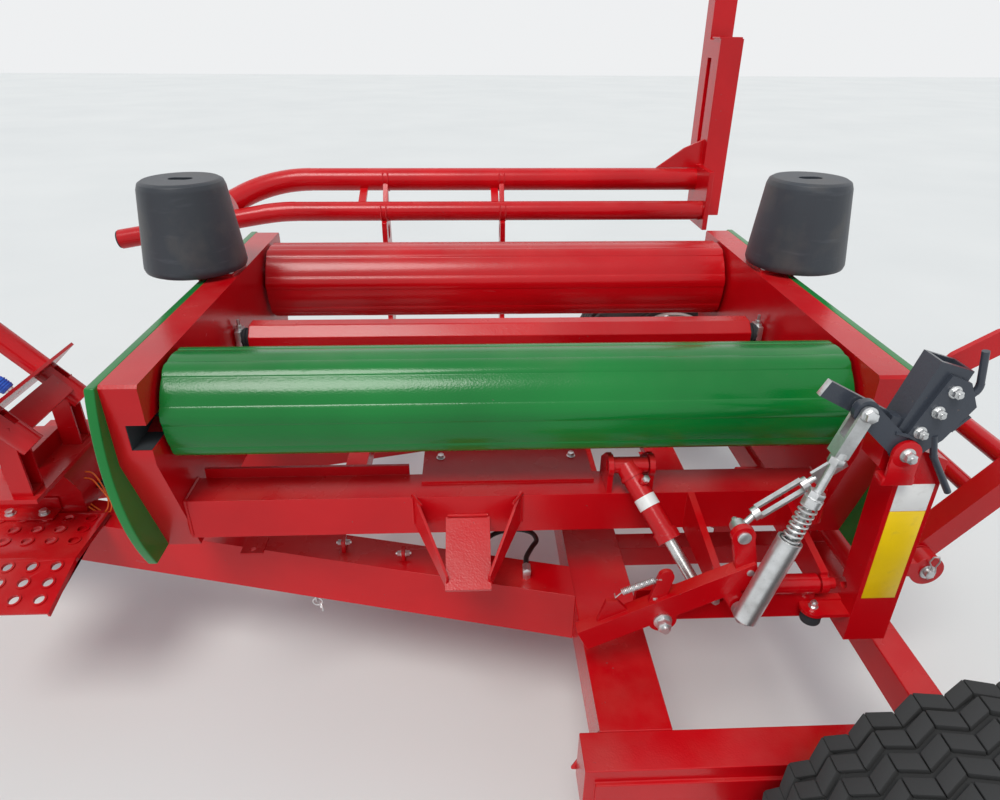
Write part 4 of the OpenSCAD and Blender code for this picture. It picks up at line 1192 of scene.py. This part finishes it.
@dataclass
class ChassisFittings:
    """Bolts, pins, crank, hoses and small lugs of the chassis and the mast."""

    leg_top: float = 0.490
    leg_end: float = 1.560
    leg_slope: float = 0.24854
    leg_offset: float = 0.0035
    hose_width: float = 0.015
    hose_gap: float = 0.009
    hose_high: float = 0.466
    wire_width: float = 0.004
    pin: tuple[float, float, float] = (-0.985, 0.520, 0.530)

    def build(self) -> None:
        """Make every fitting."""
        self._bolts()
        self._crank()
        self._clips()
        self._lugs()
        self._coupler()
        self._hoses()
        self._flange()

    def _bolts(self) -> None:
        """Make the bolts of the mast's foot, the head plate and the mast's plate."""
        rows: list[BoltRow] = [
            (at(x, y, self.leg_top + 0.018), UP, 0.024, False)
            for x in (1.475, 1.525)
            for y in (-0.030, 0.115)
        ]
        for y in (-0.050, 0.050):
            rows += [(at(2.220, y, z), FRONT, 0.019, False) for z in (0.385, 0.485)]
        rows += [(at(x, 0.214, 0.676), LEFT, 0.013, False) for x in (1.215, 1.275)]
        fasten("chassis_bolts", "root", rows)
        foot = Shape()
        low, high = self.leg_top + 0.0095, self.leg_top + 0.018
        foot.block(at(1.452, -0.062, low), at(1.550, 0.150, high), 0.003)
        foot.piece("mast_foot_plate", "root", Finish.RED)

    def _crank(self) -> None:
        """Make the parking jack's head and crank."""
        low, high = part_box("jack_sleeve")
        middle = Vector(((low.x + high.x) / 2, (low.y + high.y) / 2, high.z))
        head = Shape()
        head.rod(middle - UP * 0.002, middle + UP * 0.012, 0.086, 32, edge=0.003)
        head.rod(middle + UP * 0.010, middle + UP * 0.040, 0.044, 28, edge=0.004)
        head.piece("jack_head", "root", Finish.GREY)
        crank = Shape()
        hub = middle + UP * 0.034
        bends = ((0.0, 0.0), (0.060, 0.0), (0.115, 0.012), (0.125, 0.060))
        crank.tube([hub + LEFT * out + UP * rise for out, rise in bends], 0.012, 12)
        crank.piece("jack_crank", "root", Finish.ZINC)
        grip = Shape()
        start, end = hub + LEFT * 0.1235 + UP * 0.050, hub + LEFT * 0.1365 + UP * 0.125
        grip.rod(start, end, 0.024, 20, edge=0.004)
        grip.piece("jack_grip", "root", Finish.RUBBER)

    def _clips(self) -> None:
        """Make the ramp's pins with their spring clips."""
        for side, name in ((1, "left"), (-1, "right")):
            way = LEFT * side
            pins = Shape()
            x, y, z = self.pin
            face = at(x, side * y, z)
            pins.rod(face - way * 0.010, face + way * 0.014, 0.022, 20, edge=0.001)
            pins.rod(face + way * 0.0005, face + way * 0.004, 0.038, 24, edge=0.001)
            spot = face + way * 0.009
            loop = [
                spot - UP * 0.016,
                spot + UP * 0.020,
                spot + UP * 0.036 + FRONT * 0.010,
                spot + UP * 0.050 + FRONT * 0.004,
                spot + UP * 0.050 - FRONT * 0.010,
                spot + UP * 0.036 - FRONT * 0.015,
                spot + UP * 0.020 - FRONT * 0.009,
                spot + UP * 0.004 - FRONT * 0.013,
                spot - UP * 0.012 - FRONT * 0.011,
            ]
            pins.tube(loop, 0.0036, 8)
            pins.piece(f"ramp_pin_{name}", "tilting_frame", Finish.ZINC)

    def _lugs(self) -> None:
        """Make the small lugs on the left leg, their nuts and the shackle below it."""
        lugs = Shape()
        rows: list[BoltRow] = []
        for x, y, half, high in ((0.411, 0.345, 0.016, 0.526), (0.259, 0.385, 0.012, 0.520)):
            foot = at(x - 0.005, y - half, self.leg_top - 0.001)
            lugs.block(foot, at(x + 0.005, y + half, high), 0.002)
            rows += [
                (at(x + side * 0.005, y, high - 0.014), FRONT * side, 0.012, True)
                for side in (-1, 1)
            ]
        lugs.piece("leg_lugs", "root", Finish.RED)
        fasten("lug_nuts", "root", rows)
        ring = [
            (0.0022 * math.cos(a), 0.012 + 0.0022 * math.sin(a))
            for a in (math.tau * n / 8 for n in range(8))
        ]
        shackle = Shape()
        shackle.turned(ring, at(0.497, 0.352, 0.342), FRONT, 28)
        shackle.turned(ring, at(0.497, 0.352, 0.323), LEFT, 28)
        shackle.turned(ring, at(0.489, 0.352, 0.306), FRONT + LEFT * 0.5, 28)
        shackle.piece("leg_shackle", "root", Finish.ZINC)

    def _coupler(self) -> None:
        """Make the capped coupler on the mast's flange."""
        way = Vector((0.669, 0.0, 0.743))
        foot = at(1.225, 0.150, 0.8443)
        stub = Shape()
        stub.rod(foot - way * 0.001, foot + way * 0.008, 0.034, 6, edge=0.001)
        stub.rod(foot + way * 0.007, foot + way * 0.022, 0.022, 24, edge=0.001)
        stub.piece("coupler", "root", Finish.ZINC)
        cap = Shape()
        cap.rod(foot + way * 0.016, foot + way * 0.052, 0.034, 32, end_width=0.031, edge=0.003)
        for number in range(4):
            start = foot + way * (0.022 + 0.006 * number)
            cap.rod(start, start + way * 0.003, 0.036, 32, edge=0.0005)
        cap.piece("coupler_cap", "root", Finish.BLUE)

    def _hoses(self) -> None:
        """Lay the hoses and the two thin wires, and clip the hoses to the left leg."""
        for number in range(3):
            drop = 0.018 * number
            start = at(1.130, 0.092 - 0.017 * number, 0.525 - 0.004 * number)
            first, last, *rest = start - FRONT * 0.030, *(
                at(x, self._inner(x) - self.hose_gap, self.hose_high - drop)
                for x in (0.80, 0.70, 0.50, 0.30, 0.10, -0.05, -0.154)
            )
            bend = [self._eased(first, last, step / 8) for step in range(9)]
            points = [start + FRONT * 0.004, *bend, *rest]
            lay_cord(
                f"leg_hose_{number}", "root", points, self.hose_width, Finish.HOSE
            )
        clips = Shape()
        for x in (0.90, 0.55, 0.20):
            inner = self._inner(x)
            low, high = at(x - 0.012, inner - 0.0195, 0.415), at(x + 0.012, inner + 0.004, 0.4755)
            clips.block(low, high, 0.003)
        clips.piece("hose_clips", "root", Finish.RUBBER)
        for number in range(2):
            side = 0.012 * number
            points = [
                at(1.134, 0.120 + side, 0.590 - side),
                at(1.112, 0.124 + side, 0.586 - side),
                at(1.088, 0.140 + side, 0.556),
                at(1.074 - side, 0.156 + side, 0.524),
                at(1.074 - side, 0.170 + side * 0.5, 0.5035),
                at(1.085 - side, 0.177, 0.4935),
                at(1.101 - side, 0.172, 0.4930),
                at(1.118, 0.164 - side, 0.4960),
                at(1.134, 0.156 - side, 0.502),
            ]
            name = f"foot_wire_{number}"
            lay_cord(name, "root", points, self.wire_width, Finish.ORANGE_WIRE)
        fitting = Shape()
        spot = at(-0.041, 0.463, self.leg_top)
        fitting.rod(spot - UP * 0.001, spot + UP * 0.030, 0.020, 6, edge=0.001)
        turn = spot + UP * 0.022
        fitting.rod(turn + LEFT * 0.010, turn - LEFT * 0.016, 0.022, 6, edge=0.001)
        fitting.piece("leg_fitting", "root", Finish.ZINC)
        points = [
            at(-0.041, 0.450, 0.512),
            at(-0.044, 0.415, 0.511),
            at(-0.062, 0.365, 0.500),
            at(-0.078, 0.315, 0.482),
            at(-0.066, 0.262, 0.466),
            at(-0.020, 0.238, 0.456),
            at(0.035, 0.252, 0.450),
            at(0.070, 0.300, 0.446),
            at(0.085, 0.345, 0.444),
            at(0.088, 0.374, 0.444),
        ]
        lay_cord("fitting_hose", "root", points, 0.013, Finish.HOSE)

    def _inner(self, x: float) -> float:
        """Return the left leg's inner face at a distance in front of the table."""
        return self.leg_offset + self.leg_slope * (self.leg_end - x)

    def _eased(self, start: Vector, end: Vector, share: float) -> Vector:
        """Return a point of a gentle S bend along X.

        Args:
            start: Where the bend starts.
            end: Where it ends.
            share: How far along it the point is, from 0 to 1.

        Returns:
            The point.
        """
        point = start.lerp(end, share ** 2 * (3 - 2 * share))
        point.x = start.x + (end.x - start.x) * share
        return point

    def _flange(self) -> None:
        """Make the step's bolted flange at the mast's foot."""
        flange = Shape()
        flange.block(at(1.190, 0.1690, 0.5055), at(1.430, 0.2240, 0.5125), 0.003)
        flange.block(at(1.1908, 0.1696, 0.5005), at(1.4292, 0.1760, 0.545), 0.003)
        flange.piece("step_flange", "root", Finish.RED)
        spots = (at(x, 0.200, 0.5125) for x in (1.222, 1.310, 1.398))
        fasten("step_bolts", "root", [(spot, UP, 0.019, False) for spot in spots])


@dataclass
class LoaderFittings:
    """Caps, pins and welds of the loading arm."""

    shaft: tuple[float, float] = (-1.000, 0.500)
    bead_width: float = 0.008

    def build(self) -> None:
        """Make every fitting."""
        way = Vector((0.630, 0.052, -0.096)).normalized()
        nose = at(1.480, -1.088, 0.904)
        cap = Shape()
        cap.rod(nose - way * 0.002, nose + way * 0.008, 0.070, 32, edge=0.003)
        cap.piece("fork_cap", "loader", Finish.RUBBER)
        fasten("loader_bolts", "loader", [
            (at(0.454, *self.shaft), FRONT, 0.030, True),
            (at(-0.074, *self.shaft), -FRONT, 0.030, True),
        ])
        beads = Shape()
        for face, step in ((-0.0605, -1), (-0.0395, 1), (0.4195, -1), (0.4405, 1)):
            for y, z, radius in ((-1.280, 1.100, 0.045), (-1.140, 1.000, 0.038)):
                beads.weld([
                    at(face, y + radius * math.cos(a), z + radius * math.sin(a))
                    for a in (math.radians(d) for d in range(-150, 60, 15))
                ], self.bead_width)
        beads.piece("loader_welds", "loader", Finish.RED)


@dataclass
class Studio:
    """The camera, the soft light and the pale floor."""

    eye: Vector = field(default_factory=lambda: Vector((-2.267, 1.7473, 1.2047)))
    yaw: float = 2.55
    pitch: float = 27.91
    roll: float = 0.41
    lens: float = 25.16
    floor_z: float = -0.450
    floor_size: float = 60.0
    sky_colour: Colour = (0.80, 0.86, 0.95)
    sky_strength: float = 0.75
    seen_colour: Colour = (0.86, 0.87, 0.88)
    sun_energy: float = 1.7
    sun_angle: float = 24.0
    sun_colour: Colour = (1.0, 0.98, 0.95)
    sun_turn: tuple[float, float] = (-28.0, 14.0)

    def build(self) -> None:
        """Make the camera, the lights and the floor."""
        self._camera()
        self._floor()
        self._light()
        bpy.context.scene.view_settings.view_transform = "Standard"

    def _camera(self) -> None:
        """Set the camera that matches the photograph."""
        yaw, pitch, roll = (math.radians(a) for a in (self.yaw, self.pitch, self.roll))
        ahead = Vector((-math.sin(yaw), -math.cos(yaw), 0.0))
        side = Vector((-math.cos(yaw), math.sin(yaw), 0.0))
        up = Vector((0.0, 0.0, 1.0))
        forward = ahead * math.cos(pitch) - up * math.sin(pitch)
        upright = up * math.cos(pitch) + ahead * math.sin(pitch)
        right = side * math.cos(roll) + upright * math.sin(roll)
        top = upright * math.cos(roll) - side * math.sin(roll)
        data = bpy.data.cameras.new("camera")
        data.sensor_width = 36.0
        data.lens = self.lens
        camera = bpy.data.objects.new("camera", data)
        bpy.context.scene.collection.objects.link(camera)
        turn = Matrix((right, top, -forward)).transposed().to_4x4()
        camera.matrix_world = Matrix.Translation(self.eye) @ turn
        bpy.context.scene.camera = camera

    def _floor(self) -> None:
        """Lay the pale floor."""
        mesh = bmesh.new()
        bmesh.ops.create_grid(
            mesh, x_segments=1, y_segments=1, size=self.floor_size / 2
        )
        bmesh.ops.translate(mesh, vec=(ORIGIN.x, 0.0, self.floor_z), verts=mesh.verts)
        data = bpy.data.meshes.new("floor")
        mesh.to_mesh(data)
        mesh.free()
        s = Surface("floor")
        tone = s.noise(0.7, 3.0)
        data.materials.append(
            s.finish(
                Base_Color=s.blend(tone, srgb(226, 226, 222), srgb(214, 215, 212)),
                Roughness=tone * 0.1 + 0.8,
            )
        )
        floor = bpy.data.objects.new("floor", data)
        bpy.context.scene.collection.objects.link(floor)

    def _light(self) -> None:
        """Light the scene like a pale sky with a soft sun."""
        world = bpy.data.worlds.new("sky")
        world.use_nodes = True
        tree = world.node_tree
        ground = tree.nodes["Background"]
        ground.inputs["Color"].default_value = (*self.sky_colour, 1.0)
        ground.inputs["Strength"].default_value = self.sky_strength
        seen = tree.nodes.new("ShaderNodeBackground")
        seen.inputs["Color"].default_value = (*self.seen_colour, 1.0)
        seen.inputs["Strength"].default_value = 1.0
        path = tree.nodes.new("ShaderNodeLightPath")
        mix = tree.nodes.new("ShaderNodeMixShader")
        plain = path.outputs["Is Camera Ray"]
        for kind in ("Is Glossy Ray", "Is Transmission Ray"):
            total = tree.nodes.new("ShaderNodeMath")
            total.operation = "ADD"
            total.use_clamp = True
            tree.links.new(plain, total.inputs[0])
            tree.links.new(path.outputs[kind], total.inputs[1])
            plain = total.outputs[0]
        tree.links.new(plain, mix.inputs[0])
        tree.links.new(ground.outputs[0], mix.inputs[1])
        tree.links.new(seen.outputs[0], mix.inputs[2])
        tree.links.new(mix.outputs[0], tree.nodes["World Output"].inputs["Surface"])
        bpy.context.scene.world = world
        sun = bpy.data.lights.new("sun", "SUN")
        sun.energy = self.sun_energy
        sun.angle = math.radians(self.sun_angle)
        sun.color = self.sun_colour
        lamp = bpy.data.objects.new("sun", sun)
        lamp.rotation_euler = (*(math.radians(a) for a in self.sun_turn), 0.0)
        bpy.context.scene.collection.objects.link(lamp)


def main() -> None:
    """Build every part of the scene in order."""
    logging.basicConfig(level=logging.INFO, format="%(name)s %(message)s")
    Studio().build()
    Frame().dress()
    Tyres().build()
    CutterFittings().build()
    TableFittings().build()
    WheelFittings().build()
    ChassisFittings().build()
    LoaderFittings().build()


if __name__ == "__main__":
    main()
